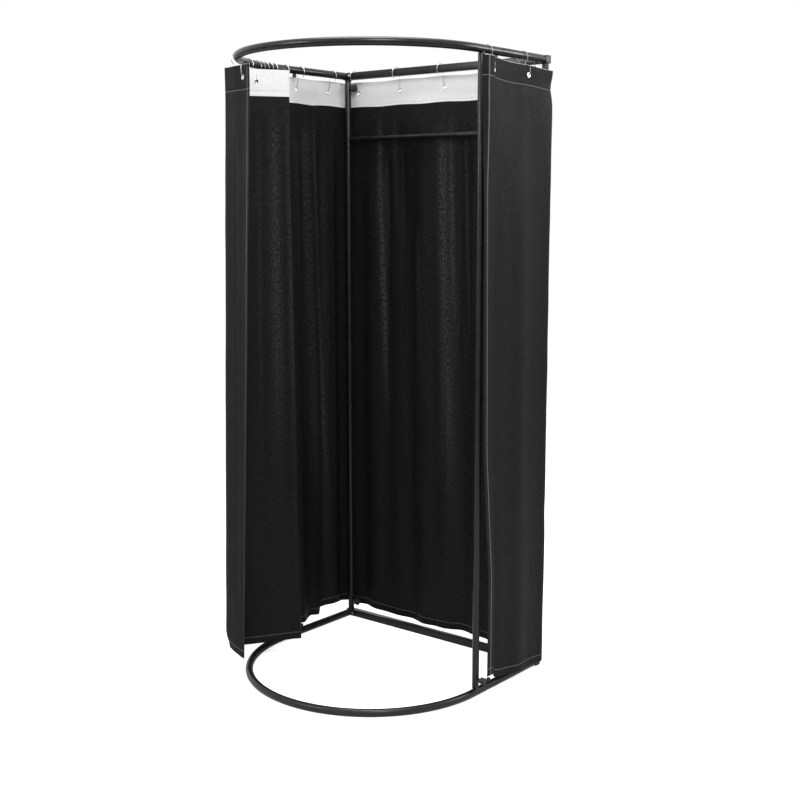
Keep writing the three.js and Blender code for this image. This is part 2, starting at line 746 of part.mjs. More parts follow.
const headerRun = runCurve(headerRunShares);
const hemRun = runCurve(hemRunShares);

function lastFold(spec, number) {
  const { from, eyelet: eyeletAt, to, hookTurn, hem } = spec;
  const free = to === runSpans;
  const columns = (to - from) * foldStepsPerSpan;
  const start = from + runGapShare;
  const end = free ? to : to - runGapShare;
  const middle = (i, j) => {
    const t = THREE.MathUtils.lerp(start, end, i / columns) / runSpans;
    const share = frontRowShares[j];
    const place = hemRun.getPoint(t).lerp(headerRun.getPoint(t), Math.min(share / headerShare, 1));
    return place.setZ(THREE.MathUtils.lerp(hem, headerTop, share));
  };
  const way = headerRun.getTangent(eyeletAt / runSpans);
  const through = new THREE.Vector3(way.y, -way.x, 0).normalize();
  const [share, degrees] = headerRunShares[eyeletAt];
  const eyelet = polar(share * bendRadius, degrees, eyeletHeight);
  const sheet = clothGeometry(middle, columns, frontRowShares.length - 1, true, !free);
  add(`front_fold_${number}`, built(sheet, [], [eyeletCut(eyelet, through)]), cloth);
  const turn = degrees + hookTurn;
  hook(`front_hook_${number}`, polar(bendRadius, turn), polar(1, turn), eyelet, through);
}

for (const level of levels) {
  hoop(level);
  backTube(level);
  for (const side of sides) {
    sideTube(side, level);
    jointScrew(side, level);
    cornerBolt(side, level);
    endCap(side, level);
  }
}
for (const corner of corners) {
  post(corner);
  knobs(corner);
}
clothesRail();
wallCurtains();
for (let number = 1; number <= 4; number += 1) pleat(number);
lastFolds.forEach((spec, i) => lastFold(spec, i + 5));

// The origin lies under the middle of the whole, on the floor.
const reach = new THREE.Box3().setFromObject(booth);
const middle = reach.getCenter(new THREE.Vector3());
booth.position.set(-middle.x, -middle.y, -reach.min.z);

export default booth;
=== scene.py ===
# %% [markdown]
# # A portable fitting room
# The real object is a light frame of black powder-coated steel tube: a round-fronted ring on the
# floor, the same ring at head height, and four posts between them. Black woven curtains hang from
# it on bent wire hooks. Three sides stay closed, and the front curtain is pushed to the left.
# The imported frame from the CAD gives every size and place, so it is loaded first. Its own lengths
# are in metres, and the origin is on the floor under the middle of the whole.

# %% Load the frame
import json
import math

import bpy
import numpy as np
from mathutils import Matrix, Vector, noise


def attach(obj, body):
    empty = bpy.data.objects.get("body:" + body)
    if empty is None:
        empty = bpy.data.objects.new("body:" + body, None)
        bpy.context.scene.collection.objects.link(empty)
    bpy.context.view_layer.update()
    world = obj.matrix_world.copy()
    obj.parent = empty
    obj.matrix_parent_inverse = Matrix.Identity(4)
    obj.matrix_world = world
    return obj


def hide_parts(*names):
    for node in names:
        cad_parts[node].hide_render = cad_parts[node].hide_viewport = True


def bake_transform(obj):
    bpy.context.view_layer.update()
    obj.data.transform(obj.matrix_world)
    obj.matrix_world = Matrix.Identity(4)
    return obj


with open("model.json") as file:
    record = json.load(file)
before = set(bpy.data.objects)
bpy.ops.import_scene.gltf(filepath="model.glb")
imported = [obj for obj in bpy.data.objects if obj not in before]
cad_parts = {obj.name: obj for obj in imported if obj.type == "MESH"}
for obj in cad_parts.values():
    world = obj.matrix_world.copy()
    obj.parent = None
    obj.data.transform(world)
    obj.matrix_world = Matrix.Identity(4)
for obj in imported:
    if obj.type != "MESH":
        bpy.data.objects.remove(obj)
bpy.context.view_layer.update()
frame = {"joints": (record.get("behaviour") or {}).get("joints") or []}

MM = 0.001

# %% [markdown]
# The round front of both rings is one half circle, and nearly everything is placed from its
# middle. The curtain turns about the same point, so the joint that draws it gives the place.
# From there the hoops' bend, the rear tubes, the tube's radius and the rail's height are kept
# in millimetres.

# %% Find the middle of the rings
draw = next(joint for joint in frame["joints"] if joint["name"] == "curtain_draw")
RING = Vector((draw["pos_m"][0], draw["pos_m"][1], 0.0))
print("middle of the rings", tuple(round(value, 4) for value in RING))
HOOP = 412.5
REAR = 362.5
TUBE = 12.5
RAIL = 1768


def spot(x, y, z=0.0):
    """A point given in millimetres from the middle of the rings."""
    return RING + Vector((x, y, z)) * MM


def around(radius, degrees, z=0.0):
    """A point at a radius in millimetres and a direction in degrees round the rings' middle."""
    turn = math.radians(degrees)
    return spot(radius * math.cos(turn), radius * math.sin(turn), z)


def ease(value, low, high):
    """A smooth step from 0 at low to 1 at high."""
    t = np.clip((np.asarray(value, float) - low) / (high - low), 0, 1)
    return t * t * (3 - 2 * t)


# %% [markdown]
# The photograph is taken from a little to the right of the open front, just below eye level. A
# camera with the same place and lens is set before anything is modelled, so that each piece can
# be compared with the photograph as soon as it is made.

# %% Set up the camera
lens = bpy.data.cameras.new("product_view")
lens.lens = 55.26
lens.sensor_width = 36.0
camera = bpy.data.objects.new("product_view", lens)
bpy.context.scene.collection.objects.link(camera)
camera.location = spot(2554.34, -3012.51, 1529.31)
camera.rotation_euler = (math.radians(90 - 8.92), 0.0, math.radians(38.96))
bpy.context.scene.camera = camera
bpy.context.scene.view_settings.view_transform = "Standard"
print("camera at", tuple(round(value, 3) for value in camera.location))

# %% [markdown]
# The set is a white sweep, as in a catalogue: a pale floor that keeps a soft shadow, a white
# surround, and four broad lamps. Two stand high on the right, because the outer curtain on that
# side is lit along its top and falls off towards its foot. The one overhead picks out the tubes.


# %% Build the set and the lamps
def deselect():
    """Empty the selection, so that the next operator touches only its own piece."""
    if bpy.context.object and bpy.context.object.mode != "OBJECT":
        bpy.ops.object.mode_set(mode="OBJECT")
    bpy.ops.object.select_all(action="DESELECT")


def lamp(name, place, target, size, energy):
    """A soft square lamp that faces a target."""
    data = bpy.data.lights.new(name, "AREA")
    data.size = size
    data.energy = energy
    holder = bpy.data.objects.new(name, data)
    holder.location = place
    holder.rotation_euler = (Vector(target) - Vector(place)).to_track_quat("-Z", "Y").to_euler()
    bpy.context.scene.collection.objects.link(holder)


def white_behind(strength):
    """A world that lights at a plain strength and is white wherever it is seen or mirrored."""
    world = bpy.data.worlds.new("studio")
    world.use_nodes = True
    tree = world.node_tree
    tree.nodes.clear()
    light, seen = (tree.nodes.new("ShaderNodeBackground") for _ in range(2))
    for background, power in ((light, strength), (seen, 1.0)):
        background.inputs["Strength"].default_value = power
        background.inputs["Color"].default_value = (1, 1, 1, 1)
    path = tree.nodes.new("ShaderNodeLightPath")
    first, second = (tree.nodes.new("ShaderNodeMath") for _ in range(2))
    first.operation = second.operation = "MAXIMUM"
    mix = tree.nodes.new("ShaderNodeMixShader")
    out = tree.nodes.new("ShaderNodeOutputWorld")
    tree.links.new(path.outputs["Is Camera Ray"], first.inputs[0])
    tree.links.new(path.outputs["Is Glossy Ray"], first.inputs[1])
    tree.links.new(first.outputs[0], second.inputs[0])
    tree.links.new(path.outputs["Is Transmission Ray"], second.inputs[1])
    tree.links.new(second.outputs[0], mix.inputs["Fac"])
    tree.links.new(light.outputs[0], mix.inputs[1])
    tree.links.new(seen.outputs[0], mix.inputs[2])
    tree.links.new(mix.outputs[0], out.inputs["Surface"])
    bpy.context.scene.world = world


white_behind(0.32)
lamp("front", (-0.95, -2.8, 2.65), (0.0, 0.3, 1.8), 0.9, 34)
lamp("high_right", (2.2, -1.9, 3.4), (0.0, 0.0, 1.8), 0.9, 56)
lamp("right_rear", (2.05, 1.95, 2.45), (0.45, 0.15, 1.95), 0.8, 34)
lamp("overhead", (0.0, 0.0, 4.2), (0.0, 0.0, 0.0), 1.8, 95)

deselect()
bpy.ops.mesh.primitive_plane_add(size=60.0, location=(0, 0, 0))
floor = bpy.context.object
floor.name = "studio_floor"
floor_paint = bpy.data.materials.new("white_floor")
floor_paint.use_nodes = True
floor_shader = floor_paint.node_tree.nodes["Principled BSDF"]
floor_shader.inputs["Base Color"].default_value = (0.93, 0.93, 0.93, 1)
floor_shader.inputs["Roughness"].default_value = 0.9
floor_shader.inputs["Specular IOR Level"].default_value = 0.0
floor_shader.inputs["Emission Color"].default_value = (1, 1, 1, 1)
floor_tree = floor_paint.node_tree
seen_by_camera = floor_tree.nodes.new("ShaderNodeLightPath")
lift = floor_tree.nodes.new("ShaderNodeMath")
lift.operation = "MULTIPLY"
lift.inputs[1].default_value = 0.75
floor_tree.links.new(seen_by_camera.outputs["Is Camera Ray"], lift.inputs[0])
floor_tree.links.new(lift.outputs[0], floor_shader.inputs["Emission Strength"])
floor.data.materials.append(floor_paint)
print("set ready")

# %% [markdown]
# ## Finishes
# Each finish is built from a few noise and wave nodes. A small helper adds a node and wires it,
# so that a material reads as a short list of what the surface has on it.


# %% A helper for materials
class Finish:
    """A material with its shader at hand, and short ways to add and join nodes."""

    def __init__(self, name, colour, roughness, metallic=0.0, specular=0.5):
        self.material = bpy.data.materials.new(name)
        self.material.use_nodes = True
        self.tree = self.material.node_tree
        self.shader = self.tree.nodes["Principled BSDF"]
        self.shader.inputs["Base Color"].default_value = (*colour, 1)
        self.shader.inputs["Roughness"].default_value = roughness
        self.shader.inputs["Metallic"].default_value = metallic
        self.shader.inputs["Specular IOR Level"].default_value = specular

    def add(self, kind, **settings):
        node = self.tree.nodes.new(kind)
        for key, value in settings.items():
            setattr(node, key, value)
        return node

    def join(self, output, target):
        self.tree.links.new(output, target)

    def drive(self, name, output):
        self.join(output, self.shader.inputs[name])

    def tint(self, factor, under, over):
        """The colour under, covered by the colour over as far as the factor says."""
        node = self.add("ShaderNodeMix", data_type="RGBA")
        self.join(factor, node.inputs["Factor"])
        self.join(under, node.inputs["A"])
        node.inputs["B"].default_value = (*over, 1)
        return node.outputs["Result"]

    def split(self, place):
        """The two directions of a map or a place, each by itself."""
        node = self.add("ShaderNodeSeparateXYZ")
        self.join(place, node.inputs[0])
        return node.outputs["X"], node.outputs["Y"]

    def map(self, name):
        return self.add("ShaderNodeUVMap", uv_map=name).outputs[0]

    def math(self, operation, first, second=None, third=None, clamp=False):
        node = self.add("ShaderNodeMath", operation=operation, use_clamp=clamp)
        for socket, value in zip(node.inputs, (first, second, third)):
            if value is None:
                continue
            if isinstance(value, (int, float)):
                socket.default_value = value
            else:
                self.join(value, socket)
        return node.outputs[0]

    def noise(self, coordinates, scale, detail=3.0, stretch=(1, 1, 1)):
        mapping = self.add("ShaderNodeMapping")
        mapping.inputs["Scale"].default_value = stretch
        self.join(coordinates, mapping.inputs["Vector"])
        node = self.add("ShaderNodeTexNoise")
        node.inputs["Scale"].default_value = scale
        node.inputs["Detail"].default_value = detail
        self.join(mapping.outputs[0], node.inputs["Vector"])
        return node.outputs["Fac"]

    def wave(self, coordinates, period, direction="X", distortion=0.0):
        node = self.add("ShaderNodeTexWave", wave_type="BANDS", bands_direction=direction)
        node.inputs["Scale"].default_value = math.pi / 10 / period
        node.inputs["Distortion"].default_value = distortion
        node.inputs["Detail"].default_value = 0.0
        self.join(coordinates, node.inputs["Vector"])
        return node.outputs["Fac"]

    def ramp(self, value, low, high, at=(0.3, 0.7)):
        node = self.add("ShaderNodeValToRGB")
        node.color_ramp.elements[0].position = at[0]
        node.color_ramp.elements[0].color = (*low, 1)
        node.color_ramp.elements[1].position = at[1]
        node.color_ramp.elements[1].color = (*high, 1)
        self.join(value, node.inputs["Fac"])
        return node.outputs["Color"]

    def spread(self, value, low, high):
        node = self.add("ShaderNodeMapRange")
        node.inputs["From Min"].default_value = 0.3
        node.inputs["From Max"].default_value = 0.7
        node.inputs["To Min"].default_value = low
        node.inputs["To Max"].default_value = high
        self.join(value, node.inputs["Value"])
        return node.outputs[0]

    def bump(self, height, distance, strength=1.0, below=None):
        node = self.add("ShaderNodeBump")
        node.inputs["Distance"].default_value = distance
        node.inputs["Strength"].default_value = strength
        self.join(height, node.inputs["Height"])
        if below is not None:
            self.join(below, node.inputs["Normal"])
        return node.outputs["Normal"]


# %% [markdown]
# The curtains are a plain-woven black polyester. Its threads are too fine to count from a few
# steps away, but the cloth has been folded in a packet, so it is creased all over, and each
# crease turns a little of its sheen to the light. The pattern follows the cloth's own map, which
# is measured in metres along the cloth and up it, so that it hangs with the folds.
#
# The cloth is painted a little paler outside than inside: painted light on the lit outer faces
# and painted shade on the shaded inner ones. Along some folds of the inside, grainy paler streaks
# are a painted sheen. Every hem is turned in and sewn with grey thread. A second map says how far
# a point is from the nearest side edge, and a third how strong the painted sheen is there, so the
# same few materials serve every piece.

# %% Make the woven cloths
HEM = 38.0
HEADER_TOP = 1966.0
HEADER_FOOT = 1883.0
BAND_FOOT = (HEADER_FOOT - HEM) * 0.001
STITCH = 0.0045
THREAD = 0.0014
PUCKER = 0.006
THREAD_COUNT = 0.0011


def stitched(finish, across, along, at):
    """A row of stitches where across equals at: how much thread, and the pucker round it."""
    away = finish.math("ABSOLUTE", finish.math("SUBTRACT", across, at))
    line = finish.math("SUBTRACT", 1.0, finish.math("DIVIDE", away, THREAD), clamp=True)
    step = finish.math("FRACT", finish.math("DIVIDE", along, STITCH))
    thread = finish.math("MULTIPLY", line, finish.math("GREATER_THAN", step, 0.22))
    pucker = finish.math("SUBTRACT", 1.0, finish.math("DIVIDE", away, PUCKER), clamp=True)
    return thread, pucker


def woven_cloth(name, colours, specular, roughness, creasing, seams, painted_sheen_colour=None):
    """Plain-woven cloth with creases, and rows of stitches at the places in seams.

    Where its third map says so, grainy streaks of a paler colour are painted on it as a painted
    sheen."""
    finish = Finish(name, colours[0], roughness[0], specular=specular)
    place = finish.map("UVMap")
    warp = finish.wave(place, THREAD_COUNT, "X")
    weft = finish.wave(place, THREAD_COUNT, "Y")
    weave = finish.math("MULTIPLY", warp, weft)
    broad = finish.noise(place, 22.0, 3.0, (1.0, 0.35, 1.0))
    crinkle = finish.noise(place, 110.0, 5.0, (1.0, 0.75, 1.0))
    patches = finish.spread(finish.noise(place, 9.0, 2.0, (1.0, 0.22, 1.0)), 0.25, 1.0)
    # The raised crinkles are painted a little paler: a painted sheen on each crinkle.
    colour = finish.ramp(crinkle, colours[0], colours[1])
    # Streaks of painted sheen: where the third map says, grainy glints are painted in a paler
    # colour.
    if painted_sheen_colour:
        sheen_grain = finish.spread(finish.noise(place, 170.0, 4.0, (1.0, 0.6, 1.0)), -0.25, 1.2)
        worn = finish.split(finish.map("worn"))[0]
        colour = finish.tint(finish.math("MULTIPLY", sheen_grain, worn, clamp=True), colour, painted_sheen_colour)
    finish.drive("Roughness", finish.spread(broad, *roughness))
    creased = finish.bump(broad, 0.005, creasing)
    crinkled = finish.bump(finish.math("MULTIPLY", crinkle, patches), 0.0034, creasing, creased)
    normal = finish.bump(weave, 0.0002, 0.6, crinkled)

    side, height = finish.split(finish.map("edges"))
    run = finish.split(place)[0]
    rows = [stitched(finish, side, height, at) for at in seams["side"]]
    rows += [stitched(finish, height, run, at) for at in seams["level"]]
    thread, pucker = rows[0]
    for more_thread, more_pucker in rows[1:]:
        thread = finish.math("MAXIMUM", thread, more_thread)
        pucker = finish.math("MAXIMUM", pucker, more_pucker)
    finish.drive("Base Color", finish.tint(thread, colour, seams["thread"]))
    hollow = finish.bump(finish.math("MULTIPLY", pucker, -1.0), 0.0012, 0.7, normal)
    finish.drive("Normal", finish.bump(thread, 0.0006, 0.8, hollow))
    return finish.material


black_seams = {"side": [0.0165, 0.0195], "level": [0.024, BAND_FOOT]}
# The outside of the same cloth is painted paler than the inside: painted light on the lit outer
# faces, painted shade on the shaded inner faces.
outer_cloth_painted_lighter = woven_cloth(
    "black_cloth_outside_painted_lighter", [(0.014, 0.014, 0.0145), (0.021, 0.021, 0.0215)],
    specular=0.035, roughness=(0.4, 0.52), creasing=0.6,
    seams={**black_seams, "thread": (0.3, 0.3, 0.3)},
)
# The inside also carries streaks of painted sheen in a paler grey.
inner_cloth_painted_shade_and_sheen = woven_cloth(
    "black_cloth_inside_painted_shade_and_sheen", [(0.008, 0.008, 0.0085), (0.014, 0.014, 0.0145)],
    specular=0.06, roughness=(0.3, 0.44), creasing=1.0,
    seams={**black_seams, "thread": (0.2, 0.2, 0.2)}, painted_sheen_colour=(0.055, 0.055, 0.056),
)
white_tape = woven_cloth(
    "white_header_tape", [(0.8, 0.8, 0.805), (0.84, 0.84, 0.84)],
    specular=0.2, roughness=(0.6, 0.75), creasing=0.3,
    seams={"side": [0.0165], "level": [BAND_FOOT + 0.0035], "thread": (0.95, 0.95, 0.95)},
)
print("cloths", outer_cloth_painted_lighter.name, inner_cloth_painted_shade_and_sheen.name, white_tape.name)

# %% [markdown]
# ## The cloth that closes the three walls
# On the real room one long curtain runs from the left front post, round both rear corners, to the
# right front post. It is hemmed all round and has a white band sewn inside its top, with metal
# eyelets through it. A grid is laid out along that run and its points are moved by formulas for
# the folds, the sag between the hooks and the creases. A wall of cloth this flat needs no
# simulation, and formulas keep it where the solid model holds it.

# %% Lay out a grid of cloth
CLOTH = 0.8 * MM


def cloth_grid(name, points, flat_u, flat_v, worn, width, sides, thickness=CLOTH):
    """A sheet from points[row][column], with maps in metres, thickened evenly to both sides.

    sides holds the finish of the side on the right of the run, and of the left side if another."""
    rows, columns = points.shape[0] - 1, points.shape[1] - 1
    deselect()
    bpy.ops.mesh.primitive_grid_add(x_subdivisions=columns, y_subdivisions=rows, size=1.0)
    piece = bpy.context.object
    piece.name = name
    mesh = piece.data
    rest = np.empty(len(mesh.vertices) * 3)
    mesh.vertices.foreach_get("co", rest)
    rest = rest.reshape(-1, 3)
    column = np.rint((rest[:, 0] + 0.5) * columns).astype(int)
    row = np.rint((rest[:, 1] + 0.5) * rows).astype(int)
    mesh.vertices.foreach_set("co", points[row, column].reshape(-1))
    corner = np.empty(len(mesh.loops), dtype=np.int32)
    mesh.loops.foreach_get("vertex_index", corner)
    along, up = flat_u[row, column][corner], flat_v[row, column][corner]
    mesh.uv_layers[0].name = "UVMap"
    mesh.uv_layers.new(name="edges")
    mesh.uv_layers.new(name="worn")
    # The third map holds how strong the painted sheen is.
    maps = {"UVMap": along, "edges": np.minimum(along, width * MM - along),
            "worn": worn[row, column][corner]}
    for layer, across in maps.items():
        flat = np.stack([across, up], axis=1).reshape(-1).astype(np.float32)
        mesh.uv_layers[layer].data.foreach_set("uv", flat)
    mesh.update()
    mesh.materials.clear()
    for finish in sides:
        mesh.materials.append(finish)
    solid = piece.modifiers.new("thickness", "SOLIDIFY")
    solid.thickness = thickness
    solid.offset = 0.0
    solid.use_even_offset = True
    solid.material_offset = len(sides) - 1
    bpy.ops.object.modifier_apply(modifier="thickness")
    bpy.ops.object.shade_smooth_by_angle(angle=math.radians(50))
    return piece


def wrinkle(points, flat_u, flat_v, depth, size, seed):
    """Small creases: how far each point is pushed along its own sideways direction, in metres."""
    rows, columns = points.shape[:2]
    push = np.empty((rows, columns))
    for row in range(rows):
        for column in range(columns):
            where = Vector((flat_u[row, column] / size, flat_v[row, column] / (size * 2.4), seed))
            push[row, column] = noise.fractal(where, 0.9, 2.1, 3)
    return push * depth


def sideways(points):
    """The level direction across the cloth at each point, turned to the right of its run."""
    run = np.gradient(points, axis=1)
    run[:, :, 2] = 0
    run /= np.linalg.norm(run, axis=2, keepdims=True) + 1e-12
    return np.stack([run[:, :, 1], -run[:, :, 0], np.zeros(run.shape[:2])], axis=2)


# %% [markdown]
# The run in plan is two straight sides and a straight back with a small round corner between
# them. The places of the hooks along it are the same as in the solid model. The hem and the top
# edge rise and fall a little from place to place, as measured on the photograph.

# %% Measure the run of the wall cloth
WALL = 435.5
BACK_WALL = 385.5
LEFT_EDGE = 3.0
RIGHT_EDGE = -19.0
CORNER = 22.0
SIDE_RUN = 383.7
corner_run = math.pi / 2 * CORNER
back_run = 2 * (WALL - CORNER)
left_end = BACK_WALL - CORNER - LEFT_EDGE
back_start = left_end + corner_run
back_end = back_start + back_run
right_start = back_end + corner_run
whole_run = right_start + BACK_WALL - CORNER - RIGHT_EDGE

left_hooks = [y - LEFT_EDGE for y in (44.0, 118.1, 280.0)]
back_hooks = [back_start + (x + WALL - CORNER) for x in (-383.0, -191.5, 0.0, 191.5, 383.0)]
right_hooks = [whole_run + RIGHT_EDGE - y for y in (232.1, 44.0)]
wall_hooks = left_hooks + back_hooks + right_hooks
print("wall run", round(whole_run), "mm, hooks at", [round(place) for place in wall_hooks])


def between_hooks(u):
    """The span between two hooks that u lies in, how far along it u is, and its length."""
    marks = [0.0, *wall_hooks, whole_run]
    after = next((i for i, mark in enumerate(marks) if mark > u), len(marks) - 1)
    span = marks[after] - marks[after - 1]
    return after, (u - marks[after - 1]) / span, span


def wall_plan(u):
    """The place in plan and the outward direction at u millimetres along the wall cloth's run."""
    if u <= left_end:
        return (-WALL, LEFT_EDGE + u), (-1.0, 0.0)
    if u <= back_start:
        turn = math.pi - (u - left_end) / CORNER
        middle = (-WALL + CORNER, BACK_WALL - CORNER)
    elif u <= back_end:
        return (-WALL + CORNER + u - back_start, BACK_WALL), (0.0, 1.0)
    elif u <= right_start:
        turn = math.pi / 2 - (u - back_end) / CORNER
        middle = (WALL - CORNER, BACK_WALL - CORNER)
    else:
        return (WALL, BACK_WALL - CORNER - (u - right_start)), (1.0, 0.0)
    out = (math.cos(turn), math.sin(turn))
    return (middle[0] + CORNER * out[0], middle[1] + CORNER * out[1]), out


# %% Describe the folds of the wall cloth
EYELET = 1928.0
HEADER_SHARE = (HEADER_FOOT - HEM) / (HEADER_TOP - HEM)

hem_line = [
    (0, 40), (110, 33), (165, 42), (212, 32), (217, 58), (290, 64), (360, 52), (405, 42),
    (470, 46), (575, 36), (720, 31), (900, 37), (1015, 33), (1200, 36), (1258, 15), (1490, 34),
    (1563, 45), (1600, 60), (1617.2, 63),
]
side_waves = {
    "left": [(2.2, 9.0, 0.1), (4.3, 4.0, 0.55)],
    "back": [(3.1, 8.0, 0.3), (7.4, 4.0, 0.8)],
    "right": [(1.6, 7.0, 0.35), (3.7, 1.6, 0.2)],
}
soft_folds = [
    (145, 15, 4.0, 900, 1850), (238, 12, 5.0, 60, 1860), (292, 11, -5.0, 300, 1870),
    (557, 15, 5.5, 900, 1800), (630, 11, 4.0, 1200, 1860), (690, 13, -3.0, 200, 1500),
    (816, 14, 5.5, 400, 1850), (868, 12, 5.0, 700, 1860), (935, 13, -4.5, 900, 1850),
    (1010, 16, 4.0, 300, 1300), (1120, 14, -3.5, 500, 1700),
]
# Streaks of painted sheen on the inside of the wall cloth: place, width, lowest and highest height,
# and strength.
painted_sheen_places = [
    (118, 20, 500, 1850, 0.45), (178, 26, 300, 1870, 0.6), (221, 6, 400, 1870, 0.9),
    (534, 10, 650, 1880, 1.0), (560, 6, 1100, 1760, 0.5), (603, 10, 1350, 1860, 0.75),
    (700, 14, 700, 1500, 0.3), (812, 22, 420, 1840, 0.9), (846, 9, 900, 1860, 0.8),
    (905, 5, 900, 1800, 0.8), (1050, 20, 600, 1700, 0.4),
]


def wall_painted_sheen(u, height):
    """How strong the painted sheen streak is at a place, from 0 to 1."""
    return min(1.0, sum(
        strength * math.exp(-((u + (height - 1400) * 0.035 - place) / width) ** 2)
        * float(ease(height, low, low + 500) * (1 - ease(height, high - 120, high)))
        for place, width, low, high, strength in painted_sheen_places
        if abs(u - place) < 4 * width + 40
    ))


def wall_side(u):
    """The wall that u lies on, how far along it, its length, and whether one end hangs free."""
    if u < left_end + corner_run / 2:
        return "left", u, SIDE_RUN, True
    if u > back_end + corner_run / 2:
        return "right", whole_run - u + RIGHT_EDGE - LEFT_EDGE, SIDE_RUN, True
    return "back", u - back_start, back_run, False


def fold_depth(u, share, height):
    """How far the cloth stands out from its flat run, in millimetres."""
    side, a, length, free = wall_side(u)
    held = ease(share, 0.75, HEADER_SHARE)
    far = ease(length - a, 15, 75)
    pinned = far if free else far * ease(a, 15, 75)
    waves = sum(
        depth * math.sin(2 * math.pi * (count * a / length + phase + 0.12 * share))
        for count, depth, phase in side_waves[side]
    )
    folds = sum(
        depth * math.exp(-((u - place) / width) ** 2)
        * float(ease(height, low, low + 350) * (1 - ease(height, high - 200, high)))
        for place, width, depth, low, high in soft_folds
        if abs(u - place) < 4 * width
    )
    after, gap, _ = between_hooks(u)
    sag = 5.0 * (1 if after % 2 else -1) * math.sin(math.pi * gap)
    sag *= ease(length - a, 0, 60) * (1 if free else ease(a, 0, 60))
    cover = 13.6 * (1 - ease(a, 25, 34)) * ease(height, 1500, 1860) if free else 0.0
    if side == "right":
        cover *= 0.35 + 0.65 * float(ease(a, -22, -6))
        cover -= 3.0 * math.exp(-((height - 1908) / 15) ** 2) * float(ease(a, 45, 90))
    from_corner = abs(u - back_end - corner_run / 2)
    cover -= 6.0 * math.exp(-((height - 1895) / 32) ** 2) * (1 - float(ease(from_corner, 20, 85)))
    return waves * pinned * (1 - held) + folds + sag * held + cover


def top_edge(u):
    """The height of the top edge: up at each hook, and sagging a little between two hooks."""
    _, gap, span = between_hooks(u)
    past_corner = ease(u, right_start, whole_run)
    corner_drop = 13.0 * float(ease(u, back_end - 120, right_start) * (1 - past_corner))
    return HEADER_TOP - corner_drop - 2.5 * math.sin(math.pi * gap) ** 2 * min(span / 190.0, 1.3)


left_setback = [(384, 34), (781, 0)]
right_setback = [(300, 56), (384, 56), (781, 24), (1500, 16), (1860, 0)]


def wall_point(u, share, stand=0.0):
    """A point of the wall cloth in metres, stand millimetres outside its middle surface."""
    hem = np.interp(u, *zip(*hem_line))
    height = hem + (top_edge(u) - hem) * share
    side, a, length, free = wall_side(u)
    moved = u
    if free:
        edge = np.interp(height, *zip(*(left_setback if side == "left" else right_setback)))
        moved += edge * (1 - float(ease(a, 0, 120))) * (1 if side == "left" else -1)
    (x, y), (out_x, out_y) = wall_plan(min(max(moved, 0), whole_run))
    depth = float(fold_depth(u, share, height)) + stand
    return spot(x + out_x * depth, y + out_y * depth, height)


# %% Hang the wall cloth
WALL_STEP = 5.6
wall_columns = round(whole_run / WALL_STEP)
wall_rows = 104


def wall_patch(name, from_u, to_u, shares, columns, stand, sides, thickness=CLOTH):
    """A patch of the wall cloth's run between two places and a list of height shares."""
    places = np.linspace(from_u, to_u, columns + 1)
    points = np.array([[wall_point(u, share, stand) for u in places] for share in shares])
    flat_u = np.tile(places * MM, (len(shares), 1))
    flat_v = np.tile(np.array(shares)[:, None] * (HEADER_TOP - HEM) * MM, (1, columns + 1))
    push = wrinkle(points, flat_u, flat_v, 1.6 * MM, 0.085, 3.0)
    fade = (1 - 0.6 * ease(flat_v, 1.70, 1.86)) * (1 - 0.75 * ease(flat_u, 1.2, 1.3))
    points = points + sideways(points) * (push * fade)[:, :, None]
    flat_v -= 0.025 * ease(flat_u, back_end * MM, right_start * MM) * ease(flat_v, 1.4, 1.75)
    heights = HEM + np.array(shares) * (HEADER_TOP - HEM)
    # How strong the painted sheen is at each point.
    worn = np.array([[wall_painted_sheen(u, height) for u in places] for height in heights])
    return cloth_grid(name, points, flat_u, flat_v, worn, whole_run, sides, thickness)


wall_shares = np.linspace(0, 1, wall_rows + 1)
wall_cloth = wall_patch(
    "wall_curtain", 0, whole_run, wall_shares, wall_columns, 0.0, [inner_cloth_painted_shade_and_sheen, outer_cloth_painted_lighter],
)
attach(wall_cloth, "frame")
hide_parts("left_wall_curtain", "back_wall_curtain", "right_wall_curtain")
print("wall cloth", len(wall_cloth.data.polygons), "faces")

band_shares = np.linspace(HEADER_SHARE - 0.0005, 1.0006, 8)
header_band = wall_patch(
    "wall_header_band", 3, whole_run - 24, band_shares, wall_columns, -1.1, [white_tape], 0.7 * MM,
)
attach(header_band, "frame")

# %% [markdown]
# ## The front curtain
# The front curtain is one more hemmed cloth, with a hook every 200 to 230 mm. It is pushed to the
# left, so four narrow pleats stand out from the ring, and then wider folds hang across it. When
# it is drawn, each hook slides round the ring by its own share. The cloth is therefore made in
# pieces that meet at the hooks.

# %% Describe the run of the front cloth
PLEAT_TURNS = [181.5, 184.7, 188.0, 191.2, 194.4]
PLEAT_DEPTHS = [92.0, 96.0, 90.0, 95.0]
header_places = [
    (1.272, 192.25), (1.286, 192.8), (1.272, 193.35), (1.22, 193.6), (1.12, 193.7), (1.02, 193.7),
    (0.9, 192.9), (0.79, 191.0), (0.748, 190.55), (0.729, 191.6), (0.748, 192.8), (0.79, 195.6),
    (0.85, 199.2), (0.929, 202.95), (1.03, 206.6), (1.105, 208.75), (1.135, 209.3),
    (1.143, 210.1), (1.13, 210.9), (1.09, 213.2), (1.03, 217.6), (0.961, 223.0), (0.914, 229.6),
]
hem_places = [
    (1.272, 192.25), (1.286, 192.8), (1.272, 193.35), (1.22, 193.75), (1.1, 194.2), (0.98, 194.3),
    (0.85, 193.5), (0.73, 192.4), (0.69, 192.4), (0.665, 194.0), (0.683, 195.6), (0.73, 199.0),
    (0.83, 204.0), (0.94, 207.4), (1.07, 210.2), (1.18, 211.7), (1.213, 212.0), (1.222, 212.5),
    (1.21, 213.2), (1.17, 215.2), (1.1, 218.6), (1.048, 221.6), (1.04, 224.8),
]


def plan_points(places):
    return np.array([
        (share * HOOP * math.cos(math.radians(turn)), share * HOOP * math.sin(math.radians(turn)))
        for share, turn in places
    ])


